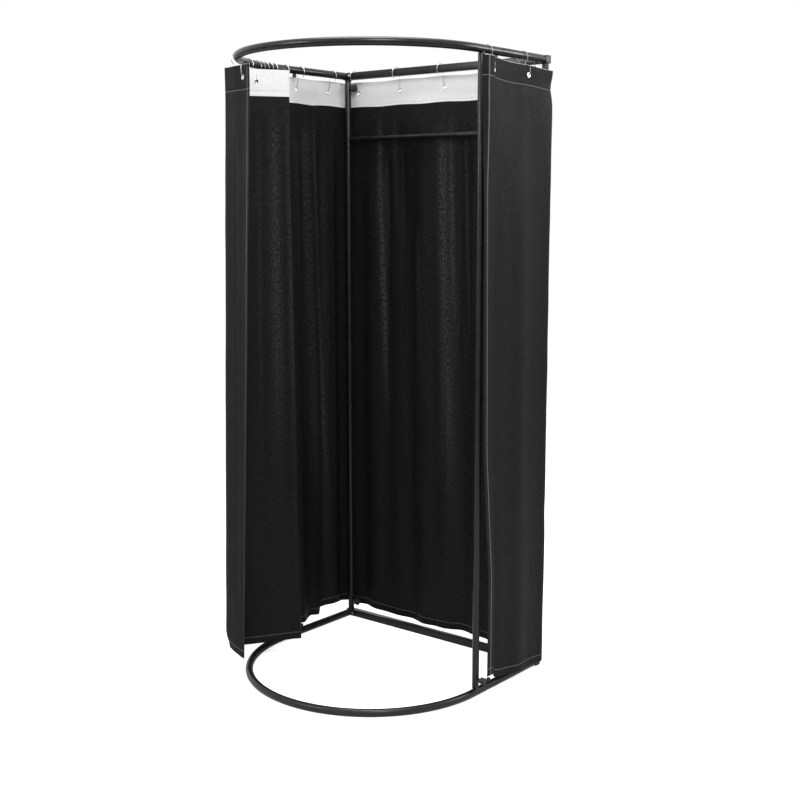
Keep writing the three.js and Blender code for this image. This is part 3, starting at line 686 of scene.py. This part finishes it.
def smooth_run(points, t):
    """A point on the smooth line through points, where t counts them (centripetal spline)."""
    last = len(points) - 1
    i = min(int(t), last - 1)
    w = t - i
    b, c = points[i], points[i + 1]
    a = points[i - 1] if i > 0 else 2 * b - c
    d = points[i + 2] if i + 2 <= last else 2 * c - b
    first, middle, final = (
        max(np.linalg.norm(q - p), 1e-9) ** 0.5 for p, q in ((a, b), (b, c), (c, d))
    )
    leave = ((b - a) / first - (c - a) / (first + middle) + (c - b) / middle) * middle
    arrive = ((c - b) / middle - (d - b) / (middle + final) + (d - c) / final) * middle
    return (b + leave * w + (3 * (c - b) - 2 * leave - arrive) * w ** 2
            + (2 * (b - c) + leave + arrive) * w ** 3)


header_line = plan_points(header_places)
hem_line_front = plan_points(hem_places)


def front_plan(part, value, share):
    """The place in plan at a height share: part is a pleat's number, or 0 for the last folds."""
    if part:
        turn = PLEAT_TURNS[part - 1]
        half = (PLEAT_TURNS[part] - turn) / 2
        reach = WALL + PLEAT_DEPTHS[part - 1] * (1 - math.cos(math.pi * value)) / 2
        curl = 0.3 * math.sin(2 * math.pi * value) * (1 - share * 0.15)
        degrees = math.radians(turn + half * (value + curl))
        return np.array((reach * math.cos(degrees), reach * math.sin(degrees)))
    low = smooth_run(hem_line_front, value)
    high = smooth_run(header_line, value)
    on_the_fold = ease(value, 12, 16) * (1 - ease(value, 18, 21))
    drawn_in = 0.026 * float(on_the_fold * (1 - ease(share, 0, 0.03)))
    return (low + (high - low) * min(share / HEADER_SHARE, 1.0)) * (1 - drawn_in)


front_stretches = [
    [(1, -0.52, 0.0)],
    [(1, 0.0, 1.0), (2, -1.0, 0.0)],
    [(2, 0.0, 1.0), (3, -1.0, 0.0)],
    [(3, 0.0, 1.0), (4, -1.0, 0.0)],
    [(4, 0.0, 1.0), (0, 1.0, 5.0)],
    [(0, 5.0, 13.0)],
    [(0, 13.0, 21.0)],
    [(0, 21.0, 22.0)],
]


def even_steps(stretch, step):
    """Places along a stretch that lie evenly on its header line, and their distances in mm."""
    fine = [
        (part, start + (end - start) * i / 160)
        for part, start, end in stretch for i in range(161)
    ]
    line = np.array([front_plan(part, value, 1.0) for part, value in fine])
    travel = np.concatenate([[0], np.cumsum(np.linalg.norm(np.diff(line, axis=0), axis=1))])
    count = max(round(travel[-1] / step), 2)
    wanted = np.linspace(0, travel[-1], count + 1)
    nearest = [int(np.argmin(abs(travel - value))) for value in wanted]
    nearest[0], nearest[-1] = 0, len(fine) - 1
    return [fine[i] for i in nearest], travel[nearest]


front_line = [(1, -0.52)]
front_travel = [0.0]
parts_at = [0]
for stretch in front_stretches:
    steps, travel = even_steps(stretch, 6.0)
    front_line += steps[1:]
    front_travel += list(front_travel[-1] + travel[1:])
    parts_at.append(len(front_line) - 1)
front_travel = np.array(front_travel)
front_width = front_travel[-1]
print("front cloth", round(front_width), "mm wide in", len(front_line) - 1, "columns")


# %% Hang the front cloth
last_values = [value for part, value in front_line if part == 0]
last_travel = front_travel[[i for i, (part, _) in enumerate(front_line) if part == 0]]
front_folds = [
    (8.9, 7, 3.0), (9.5, 7, -3.5), (10.3, 12, 3.5), (11.6, 16, -3.5), (12.8, 12, 3.0),
    (14.4, 15, -3.0), (15.6, 9, 2.5), (18.6, 14, 2.5), (20.0, 14, -2.5),
]
# Streaks of painted sheen on the front cloth: place, width and strength.
front_painted_sheen = [(8.8, 5, 0.7), (9.9, 6, 0.6), (11.6, 16, 0.7), (12.9, 6, 0.35), (14.6, 14, 0.25)]
front_folds = [(np.interp(value, last_values, last_travel), *rest) for value, *rest in front_folds]
front_painted_sheen = [(np.interp(value, last_values, last_travel), *rest) for value, *rest in front_painted_sheen]
FRONT_ROWS = 96
front_hem = [(0.0, 46.0), (0.62, 46.0), (0.74, 60.0), (0.86, 52.0), (0.95, 36.0), (1.0, 38.0)]


def front_points(shares, stand):
    """The points and the flat map of the whole front cloth."""
    points = np.empty((len(shares), len(front_line), 3))
    for column, (part, value) in enumerate(front_line):
        hem = float(np.interp(front_travel[column] / front_width, *zip(*front_hem)))
        for row, share in enumerate(shares):
            x, y = front_plan(part, value, share)
            points[row, column] = spot(x, y, hem + (HEADER_TOP - hem) * share)
    flat_u = np.tile(front_travel * MM, (len(shares), 1))
    flat_v = np.tile(np.array(shares)[:, None] * (HEADER_TOP - HEM) * MM, (1, len(front_line)))
    push = wrinkle(points, flat_u, flat_v, 1.1 * MM, 0.11, 11.0)
    bump = sum(depth * MM * np.exp(-((front_travel - place) / width) ** 2)
               for place, width, depth in front_folds)
    push += bump * ease(flat_v, 0.0, 0.35) * (1 - ease(flat_v, 1.55, 1.8))
    # The painted sheen streaks, faded out towards the foot and the top.
    worn = sum(strength * np.exp(-((front_travel - place) / width) ** 2)
               for place, width, strength in front_painted_sheen)
    worn = np.clip(worn, 0, 1) * ease(flat_v, 0.5, 1.2) * (1 - ease(flat_v, 1.7, 1.82))
    points = points + sideways(points) * (push[:, :, None] + stand * MM)
    return points, flat_u, flat_v - 0.008 * ease(flat_v, 1.4, 1.75), worn


def bend_between(piece, first, second, points):
    """Attach a piece to its body when both its ends hang on the same one; otherwise only put its
    place into its mesh.
    """
    if first == second:
        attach(piece, first)
        return
    start_edge, end_edge = points[:, 0, :2], points[:, -1, :2]
    origin = start_edge.mean(axis=0)
    way = end_edge.mean(axis=0) - origin
    way /= np.linalg.norm(way)
    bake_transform(piece)


front_bodies = ["frame"] + [f"front_{number}" for number in range(2, 8)]
sheets = {
    "curtain": (front_points(np.linspace(0, 1, FRONT_ROWS + 1), 0.0),
                [outer_cloth_painted_lighter, inner_cloth_painted_shade_and_sheen], CLOTH),
    "band": (front_points(band_shares, -1.1), [white_tape], 0.7 * MM),
}
front_cloths = []
bends = []
for index, (begin, end) in enumerate(zip(parts_at, parts_at[1:])):
    made = []
    for kind, (grids, sides, thickness) in sheets.items():
        cut = [grid[:, begin:end + 1] for grid in grids]
        piece = cloth_grid(f"front_{kind}_{index + 1}", *cut, front_width, sides, thickness)
        made.append(piece)
        bends.append((piece, front_bodies[max(index - 1, 0)], front_bodies[min(index, 6)],
                      sheets["curtain"][0][0][:, begin:end + 1]))
    front_cloths.append(made)
for number in range(1, 8):
    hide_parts(f"front_fold_{number}")
print("front pieces", [len(cloth.data.polygons) for cloth, _ in front_cloths])

# %% [markdown]
# ## Hard finishes
# The tubes have a satin black powder coat, which flows out with a faint orange-peel skin. The
# knobs and caps are moulded plastic with a fine grain. The bolts are zinc plated, and the hooks
# are bright wire that has been drawn through a die, so its fine lines run round it unevenly.

# %% Make the hard finishes
powder_coat = Finish("satin_black_powder_coat", (0.009, 0.009, 0.0095), 0.3, specular=0.32)
peel_place = powder_coat.add("ShaderNodeTexCoord").outputs["Object"]
peel = powder_coat.noise(peel_place, 620.0, 2.0)
dust = powder_coat.noise(peel_place, 34.0, 5.0)
coat_shades = [(0.006, 0.006, 0.0065), (0.011, 0.011, 0.0115)]
powder_coat.drive("Base Color", powder_coat.ramp(dust, *coat_shades))
powder_coat.drive("Roughness", powder_coat.spread(dust, 0.26, 0.34))
powder_coat.drive("Normal", powder_coat.bump(peel, 0.0001, 0.3))

moulded_plastic = Finish("moulded_black_plastic", (0.014, 0.014, 0.015), 0.5)
grain_place = moulded_plastic.add("ShaderNodeTexCoord").outputs["Object"]
grain = moulded_plastic.noise(grain_place, 1900.0, 2.0)
handled = moulded_plastic.noise(grain_place, 90.0, 3.0)
plastic_shades = [(0.012, 0.012, 0.013), (0.02, 0.02, 0.021)]
moulded_plastic.drive("Base Color", moulded_plastic.ramp(handled, *plastic_shades))
moulded_plastic.drive("Roughness", moulded_plastic.spread(handled, 0.42, 0.58))
moulded_plastic.drive("Normal", moulded_plastic.bump(grain, 0.0001, 0.5))


def bright_metal(name, colour, dull, roughness):
    """Plated or drawn metal with fine lines and a little unevenness in its shine."""
    finish = Finish(name, colour, roughness, metallic=1.0)
    place = finish.add("ShaderNodeTexCoord").outputs["Object"]
    lines = finish.noise(place, 1400.0, 3.0, (1.0, 1.0, 0.15))
    tarnish = finish.noise(place, 160.0, 3.0)
    finish.drive("Base Color", finish.ramp(tarnish, dull, colour))
    finish.drive("Roughness", finish.spread(lines, roughness - 0.08, roughness + 0.1))
    finish.drive("Normal", finish.bump(lines, 0.00004, 0.5))
    return finish.material


zinc = bright_metal("zinc_plate", (0.62, 0.63, 0.64), (0.45, 0.46, 0.47), 0.34)
drawn_wire = bright_metal("drawn_wire", (0.74, 0.75, 0.76), (0.58, 0.59, 0.6), 0.2)
nickel = bright_metal("nickel_eyelet", (0.72, 0.71, 0.68), (0.55, 0.54, 0.52), 0.22)
coat = powder_coat.material
plastic = moulded_plastic.material
print("hard finishes", [item.name for item in (coat, plastic, zinc, drawn_wire, nickel)])

# %% [markdown]
# ## Tubes, posts and fittings
# Hard pieces start as cylinders, blocks and bevelled curves. A few helpers keep each one short:
# add it between two points, soften its edges, join it to its neighbours, and dress it with a
# finish. Each finished piece is at the origin with its place in its mesh.


# %% Helpers for hard pieces
def only(*pieces):
    """Select these pieces alone, the first of them active."""
    deselect()
    for piece in pieces:
        piece.select_set(True)
    bpy.context.view_layer.objects.active = pieces[0]


def settled(piece):
    """Put a piece's place, turn and size into its mesh."""
    only(piece)
    bpy.ops.object.transform_apply(location=True, rotation=True, scale=True)
    return piece


def softened(piece, width, segments=3):
    """Round the sharp edges of a piece."""
    only(piece)
    edge = piece.modifiers.new("edge", "BEVEL")
    edge.width = width
    edge.segments = segments
    edge.limit_method = "ANGLE"
    edge.angle_limit = math.radians(35)
    bpy.ops.object.modifier_apply(modifier="edge")
    return piece


def rod(start, end, radius, edge=0.0, sides=40):
    """A round bar between two points, with its two rims softened."""
    start, end = Vector(start), Vector(end)
    way = end - start
    deselect()
    bpy.ops.mesh.primitive_cylinder_add(
        vertices=sides, radius=radius, depth=way.length, location=(start + end) / 2,
        rotation=way.to_track_quat("Z", "Y").to_euler(),
    )
    piece = settled(bpy.context.object)
    return softened(piece, edge) if edge else piece


def block(low, high, edge):
    """A box between two corners, with its edges softened."""
    low, high = Vector(low), Vector(high)
    deselect()
    bpy.ops.mesh.primitive_cube_add(size=1.0, location=(low + high) / 2)
    bpy.context.object.scale = high - low
    return softened(settled(bpy.context.object), edge)


def bent(path, radius, smoothness):
    """A round bar bent along a path of points, with closed ends."""
    deselect()
    curve = bpy.data.curves.new("bent", "CURVE")
    curve.dimensions = "3D"
    curve.bevel_depth = radius
    curve.bevel_resolution = smoothness
    curve.use_fill_caps = True
    spline = curve.splines.new("POLY")
    spline.points.add(len(path) - 1)
    for point, place in zip(spline.points, path):
        point.co = (*place, 1.0)
    piece = bpy.data.objects.new("bent", curve)
    bpy.context.scene.collection.objects.link(piece)
    only(piece)
    bpy.ops.object.convert(target="MESH")
    return bpy.context.object


def joined(first, *others):
    """Join pieces into the first of them."""
    only(first, *others)
    bpy.ops.object.join()
    return bpy.context.object


def copied(piece, matrix):
    """A copy of a piece with its own mesh, moved by a matrix."""
    copy = piece.copy()
    copy.data = piece.data.copy()
    copy.data.transform(matrix)
    bpy.context.scene.collection.objects.link(copy)
    return copy


def dressed(piece, node, material, body="frame"):
    """Name a finished piece after the solid it stands for, and give it its finish and its body."""
    piece.name = f"fine_{node}"
    piece.data.name = piece.name
    piece.data.materials.clear()
    piece.data.materials.append(material)
    only(piece)
    bpy.ops.object.shade_smooth_by_angle(angle=math.radians(38))
    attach(piece, body)
    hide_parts(node)
    return piece


# %% [markdown]
# Each ring's round front is one tube bent to a half circle, with a straight leg at each end. A
# short spigot is welded on for each front post. The side tubes are drawn down at their front end
# to plug into these legs, and their rear end carries a flat tab that is bolted to the back tube.

# %% Bend the hoops and add the side tubes
SPIGOT = 9.0 * MM
levels = {"top": (1987.5, -1), "base": (12.5, 1)}
for level, (height, inward) in levels.items():
    path = [spot(-HOOP, 100, height), spot(-HOOP, 50, height)]
    path += [around(HOOP, 180 + 180 * i / 120, height) for i in range(121)]
    path += [spot(HOOP, 50, height), spot(HOOP, 100, height)]
    hoop = bent(path, TUBE * MM, 6)
    spigots = [
        rod(spot(x, 16, height + inward * 5), spot(x, 16, height + inward * 84.5), SPIGOT)
        for x in (-HOOP, HOOP)
    ]
    dressed(joined(hoop, *spigots), f"{level}_hoop", coat)
    for side, way in (("left", -1), ("right", 1)):
        x = way * HOOP
        tube = rod(spot(x, 100.3, height), spot(x, 347.2, height), TUBE * MM, 0.9 * MM)
        plug = rod(spot(x, 60, height), spot(x, 104, height), 11.0 * MM)
        outer, inner = x + way * 12.5, x + way * (12.5 - 37)
        tab = block(spot(min(outer, inner), 346.7, height - 10.5),
                    spot(max(outer, inner), 349.7, height + 10.5), 0.8 * MM)
        dressed(joined(tube, plug, tab), f"{level}_{side}_tube", coat)
print("hoops and side tubes made")

# %% [markdown]
# The rear tubes are square, with softly rounded corners. Each end is closed by a plastic cap.

# %% Make the rear tubes and their caps
for level, (height, inward) in levels.items():
    beam = block(spot(-422.2, 350, height - 12.5), spot(422.2, 375, height + 12.5), 2.2 * MM)
    spigots = [
        rod(spot(x, REAR, height + inward * 11), spot(x, REAR, height + inward * 84.5), SPIGOT)
        for x in (-HOOP, HOOP)
    ]
    dressed(joined(beam, *spigots), f"{level}_back_tube", coat)
    for side, way in (("left", -1), ("right", 1)):
        edge, inside = way * 425.0, way * 422.5
        cap = block(spot(min(edge, inside), 350, height - 12.5),
                    spot(max(edge, inside), 375, height + 12.5), 1.0 * MM)
        dressed(cap, f"{level}_{side}_end_cap", plastic)
print("rear tubes and caps made")

# %% [markdown]
# The four posts stand between the rings. A nut is welded to each post near both of its ends, for
# the knob that clamps it on its spigot. The clothes rail spans the rear posts, and a rivet goes
# through each post into it.

# %% Stand the posts and hang the rail
posts = {
    "front_left": (-HOOP, 16.0, -1), "front_right": (HOOP, 16.0, 1),
    "back_left": (-HOOP, REAR, 1), "back_right": (HOOP, REAR, -1),
}
KNOB_HEIGHTS = {"foot": 54.5, "head": 1945.5}
POST = 11.0
for name, (x, y, way) in posts.items():
    post = rod(spot(x, y, 25.3), spot(x, y, 1974.7), POST * MM, 0.6 * MM)
    nuts = [
        rod(spot(x + way * (POST - 1.2), y, height), spot(x + way * (POST + 6), y, height),
            6.5 * MM, 0.6 * MM, 6)
        for height in KNOB_HEIGHTS.values()
    ]
    dressed(joined(post, *nuts), f"{name}_post", coat)

reach = HOOP - POST - 0.3
rail = rod(spot(-reach, REAR, RAIL), spot(reach, REAR, RAIL), 9.5 * MM, 1.2 * MM, 48)
rivets = []
for way in (-1, 1):
    outside = way * (HOOP + POST + 0.3)
    shank = rod(spot(way * reach, REAR, RAIL), spot(outside, REAR, RAIL), 3.0 * MM)
    head = rod(spot(outside - way * 0.6, REAR, RAIL), spot(outside + way * 2.4, REAR, RAIL),
               5.5 * MM, 1.4 * MM, 32)
    rivets += [shank, head]
dressed(joined(rail, *rivets), "clothes_rail", coat)
print("posts and rail made")

# %% [markdown]
# A clamping knob has six soft lobes for the fingers, a dished face and a short neck. One is
# modelled standing up: a round outline is pulled in between the lobes, drawn up and softened.
# Its eight copies are then turned to their posts.


# %% Model the knob
KNOB = 11.5
LOBE = 1.8


def lobed_knob():
    """A knob on the Z axis, at its distance from the middle of the post."""
    deselect()
    bpy.ops.mesh.primitive_circle_add(vertices=96, radius=KNOB * MM, fill_type="NGON",
                                      location=(0, 0, (POST + 10.3) * MM))
    head = settled(bpy.context.object)
    for vertex in head.data.vertices:
        turn = math.atan2(vertex.co.y, vertex.co.x)
        pull = 1 - LOBE / KNOB * (1 - math.cos(6 * turn)) / 2
        vertex.co.x *= pull
        vertex.co.y *= pull
    bpy.ops.object.mode_set(mode="EDIT")
    bpy.ops.mesh.select_all(action="SELECT")
    bpy.ops.mesh.extrude_region_move(TRANSFORM_OT_translate={"value": (0, 0, 14 * MM)})
    bpy.ops.mesh.inset(thickness=3.2 * MM, depth=0.0)
    bpy.ops.mesh.inset(thickness=0.8 * MM, depth=-0.8 * MM)
    bpy.ops.mesh.select_all(action="SELECT")
    bpy.ops.mesh.normals_make_consistent(inside=False)
    bpy.ops.object.mode_set(mode="OBJECT")
    softened(head, 1.3 * MM, 4)
    neck = rod((0, 0, (POST + 6.3) * MM), (0, 0, (POST + 10.9) * MM), 7 * MM, 0.4 * MM)
    stud = rod((0, 0, SPIGOT + 0.3 * MM), (0, 0, (POST + 6.9) * MM), 3 * MM)
    return joined(head, neck, stud)


pattern_knob = lobed_knob()
for name, (x, y, way) in posts.items():
    turn = Matrix.Rotation(math.radians(90 * way), 4, "Y")
    for end, height in KNOB_HEIGHTS.items():
        node = f"{name}_{end}_knob"
        knob = copied(pattern_knob, Matrix.Translation(spot(x, y, height)) @ turn)
        dressed(knob, node, plastic, body=node)
bpy.data.objects.remove(pattern_knob)
print("eight knobs made")

# %% [markdown]
# A plastic-headed screw pins each side tube in its hoop, and a dome-headed bolt holds each tab
# against the back tube. Both heads have a hexagon socket.


# %% Make the screws and bolts
def socket_screw(head_radius, head_length, shank_radius, shank_length, ribs, dome):
    """A screw on the Z axis whose head stands up from the origin."""
    deselect()
    bpy.ops.mesh.primitive_cylinder_add(vertices=72, radius=head_radius, depth=head_length,
                                        location=(0, 0, head_length / 2))
    head = settled(bpy.context.object)
    for index, vertex in enumerate(head.data.vertices):
        if ribs and (index // 2) % 4 < 2:
            vertex.co.x *= 0.95
            vertex.co.y *= 0.95
    softened(head, dome, 4)
    cutter = rod((0, 0, head_length * 0.45), (0, 0, head_length * 1.5), head_radius * 0.46, 0, 6)
    recess = head.modifiers.new("socket", "BOOLEAN")
    recess.object = cutter
    recess.operation = "DIFFERENCE"
    only(head)
    bpy.ops.object.modifier_apply(modifier="socket")
    bpy.data.objects.remove(cutter)
    shank = rod((0, 0, 0.6 * MM), (0, 0, -shank_length), shank_radius)
    return joined(head, shank)


joint_screw = socket_screw(6.5 * MM, 11 * MM, 2.5 * MM, 12 * MM, True, 0.9 * MM)
corner_bolt = socket_screw(4.5 * MM, 3.5 * MM, 2.5 * MM, 12 * MM, False, 1.6 * MM)
to_front = Matrix.Rotation(math.radians(90), 4, "X")
for level, (height, inward) in levels.items():
    for side, way in (("left", -1), ("right", 1)):
        turn = Matrix.Rotation(0 if inward > 0 else math.pi, 4, "X")
        place = Matrix.Translation(spot(way * HOOP, 88, height + inward * 12.8))
        screw = copied(joint_screw, place @ turn)
        dressed(screw, f"{level}_{side}_joint_screw", plastic)
        place = Matrix.Translation(spot(way * 394.0, 346.4, height))
        bolt = copied(corner_bolt, place @ to_front)
        dressed(bolt, f"{level}_{side}_corner_bolt", zinc)
for pattern in (joint_screw, corner_bolt):
    bpy.data.objects.remove(pattern)
print("screws and bolts made")

# %% [markdown]
# ## Hooks and eyelets
# Each hook is one bright wire. It goes round the tube in an open loop, comes down beside the
# cloth, passes through the eyelet and turns up again. The loops hang on the crown of the round
# tubes, and on both upper corners of the square one. Each eyelet is a rolled metal ring on both
# faces of the cloth.

# %% Bend the hooks
MOUTH = math.radians(64)
WIRE = 1.0


def hook_body(node):
    """The body that carries a hook: the frame, or a sliding part of the front curtain."""
    number = int(node[-1])
    return f"front_{number}" if node.startswith("front") and number > 1 else "frame"


def hook_path(tube, outward, eyelet, through, loop_radius, loop_height):
    """Points of one hook in millimetres. outward and through are level directions."""
    gap = np.array(eyelet[:2]) - np.array(tube)
    leg_side = math.copysign(1, gap @ outward) if abs(gap @ outward) > 1e-9 else 1
    points = []
    for i in range(31):
        angle = -math.pi / 2 - leg_side * (MOUTH / 2 + (2 * math.pi - MOUTH) * i / 30)
        x, y = np.array(tube) + np.array(outward) * loop_radius * math.cos(angle)
        points.append((x, y, loop_height + loop_radius * math.sin(angle)))
    near = math.copysign(1, -gap @ through) if abs(gap @ through) > 1e-9 else -1
    rest = eyelet[2] + 4.2
    for i in range(9):
        angle = math.pi * i / 8
        x, y = np.array(eyelet[:2]) + np.array(through) * near * 5.3 * math.cos(angle)
        points.append((x, y, rest + 6.0 * (1 - math.sin(angle))))
    x, y = np.array(eyelet[:2]) - np.array(through) * near * 5.3
    points.append((x, y, rest + 19.0))
    return [spot(*point) for point in points]


def rounded_path(path, passes=2):
    """Ease the corners of a path by cutting each one back twice."""
    points = [Vector(point) for point in path]
    for _ in range(passes):
        cut = [points[0]]
        for here, after in zip(points, points[1:]):
            cut += [here.lerp(after, 0.25), here.lerp(after, 0.75)]
        points = [*cut, points[-1]]
    return points


hook_spots = {}
for number, y in enumerate((44.0, 118.1, 280.0), 1):
    hook_spots[f"left_wall_hook_{number}"] = ((-HOOP, y), (-1, 0), (-435.5, y, EYELET), (-1, 0))
for number, x in enumerate((-383.0, -191.5, 0.0, 191.5, 383.0), 1):
    hook_spots[f"back_wall_hook_{number}"] = ((x, REAR), (0, 1), (x, 385.5, EYELET), (0, 1))
for number, y in enumerate((44.0, 232.1), 1):
    hook_spots[f"right_wall_hook_{number}"] = ((HOOP, y), (1, 0), (435.5, y, EYELET), (1, 0))
front_turns = [*PLEAT_TURNS[:4], 193.7 + 0.85, 202.95, 223.0]
for number, turn in enumerate(front_turns, 1):
    angle = math.radians(turn)
    out = (math.cos(angle), math.sin(angle))
    tube = (HOOP * out[0], HOOP * out[1])
    if number < 5:
        eyelet, through = (WALL * out[0], WALL * out[1]), out
    else:
        at = {5: 5, 6: 13, 7: 21}[number]
        eyelet = tuple(header_line[at])
        run = smooth_run(header_line, at + 0.01) - smooth_run(header_line, at - 0.01)
        run /= np.linalg.norm(run)
        through = (run[1], -run[0])
    hook_spots[f"front_hook_{number}"] = (tube, out, (*eyelet, EYELET), through)

for node, (tube, outward, eyelet, through) in hook_spots.items():
    square = node.startswith("back")
    loop_radius = 21.0 if square else 19.0
    loop_height = 1984.7 if square else 1982.3
    path = hook_path(tube, outward, eyelet, np.array(through), loop_radius, loop_height)
    wire = bent(rounded_path(path), WIRE * MM, 2)
    dressed(wire, node, drawn_wire, hook_body(node))
print(len(hook_spots), "hooks bent")

# %% [markdown]
# The eyelets are fixed after the hooks, at the same places. The cloth and its band are cut
# through first, so that the wire goes through a real hole.


# %% Cut the eyelet holes and set the rings
HOLE = 6.2


def cut_holes(pieces, spots):
    """Cut a round hole through each piece of cloth at each eyelet."""
    cutters = []
    for _, _, eyelet, through in spots:
        way = Vector((*through, 0)) * 9 * MM
        cutters.append(rod(spot(*eyelet) - way, spot(*eyelet) + way, HOLE * MM, 0, 24))
    tool = joined(*cutters)
    for piece in pieces:
        hole = piece.modifiers.new("holes", "BOOLEAN")
        hole.object = tool
        hole.operation = "DIFFERENCE"
        only(piece)
        bpy.ops.object.modifier_apply(modifier="holes")
    bpy.data.objects.remove(tool)


def eyelet_pattern():
    """A rolled ring on each face of the cloth, on the Z axis."""
    rings = []
    for side in (-1, 1):
        deselect()
        bpy.ops.mesh.primitive_torus_add(
            major_segments=36, minor_segments=12, major_radius=7.0 * MM, minor_radius=1.6 * MM,
            location=(0, 0, side * 0.9 * MM),
        )
        bpy.context.object.scale = (1, 1, 0.55)
        rings.append(settled(bpy.context.object))
    return joined(*rings)


wall_spots = [spots for node, spots in hook_spots.items() if "wall" in node]
cut_holes([wall_cloth, header_band], wall_spots)
for index, (cloth, band) in enumerate(front_cloths):
    beside = [number for number in (index, index + 1) if 1 <= number <= 7]
    cut_holes([cloth, band], [hook_spots[f"front_hook_{number}"] for number in beside])

pattern_eyelet = eyelet_pattern()
for node, (_, _, eyelet, through) in hook_spots.items():
    turn = Vector((*through, 0)).to_track_quat("Z", "Y").to_matrix().to_4x4()
    ring = copied(pattern_eyelet, Matrix.Translation(spot(*eyelet)) @ turn)
    ring.name = node.replace("hook", "eyelet")
    ring.data.name = ring.name
    ring.data.materials.append(nickel)
    only(ring)
    bpy.ops.object.shade_smooth()
    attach(ring, hook_body(node))
bpy.data.objects.remove(pattern_eyelet)
print("eyelets set")

# %% [markdown]
# The front cloth has its final shape now. A piece that hangs on the frame alone is attached to it,
# and each other piece has its place put into its mesh.

# %% Attach or bake the pieces of the front cloth
for piece, first, second, points in bends:
    bend_between(piece, first, second, points)
print(len(bends), "pieces of the front cloth bend between their hooks")
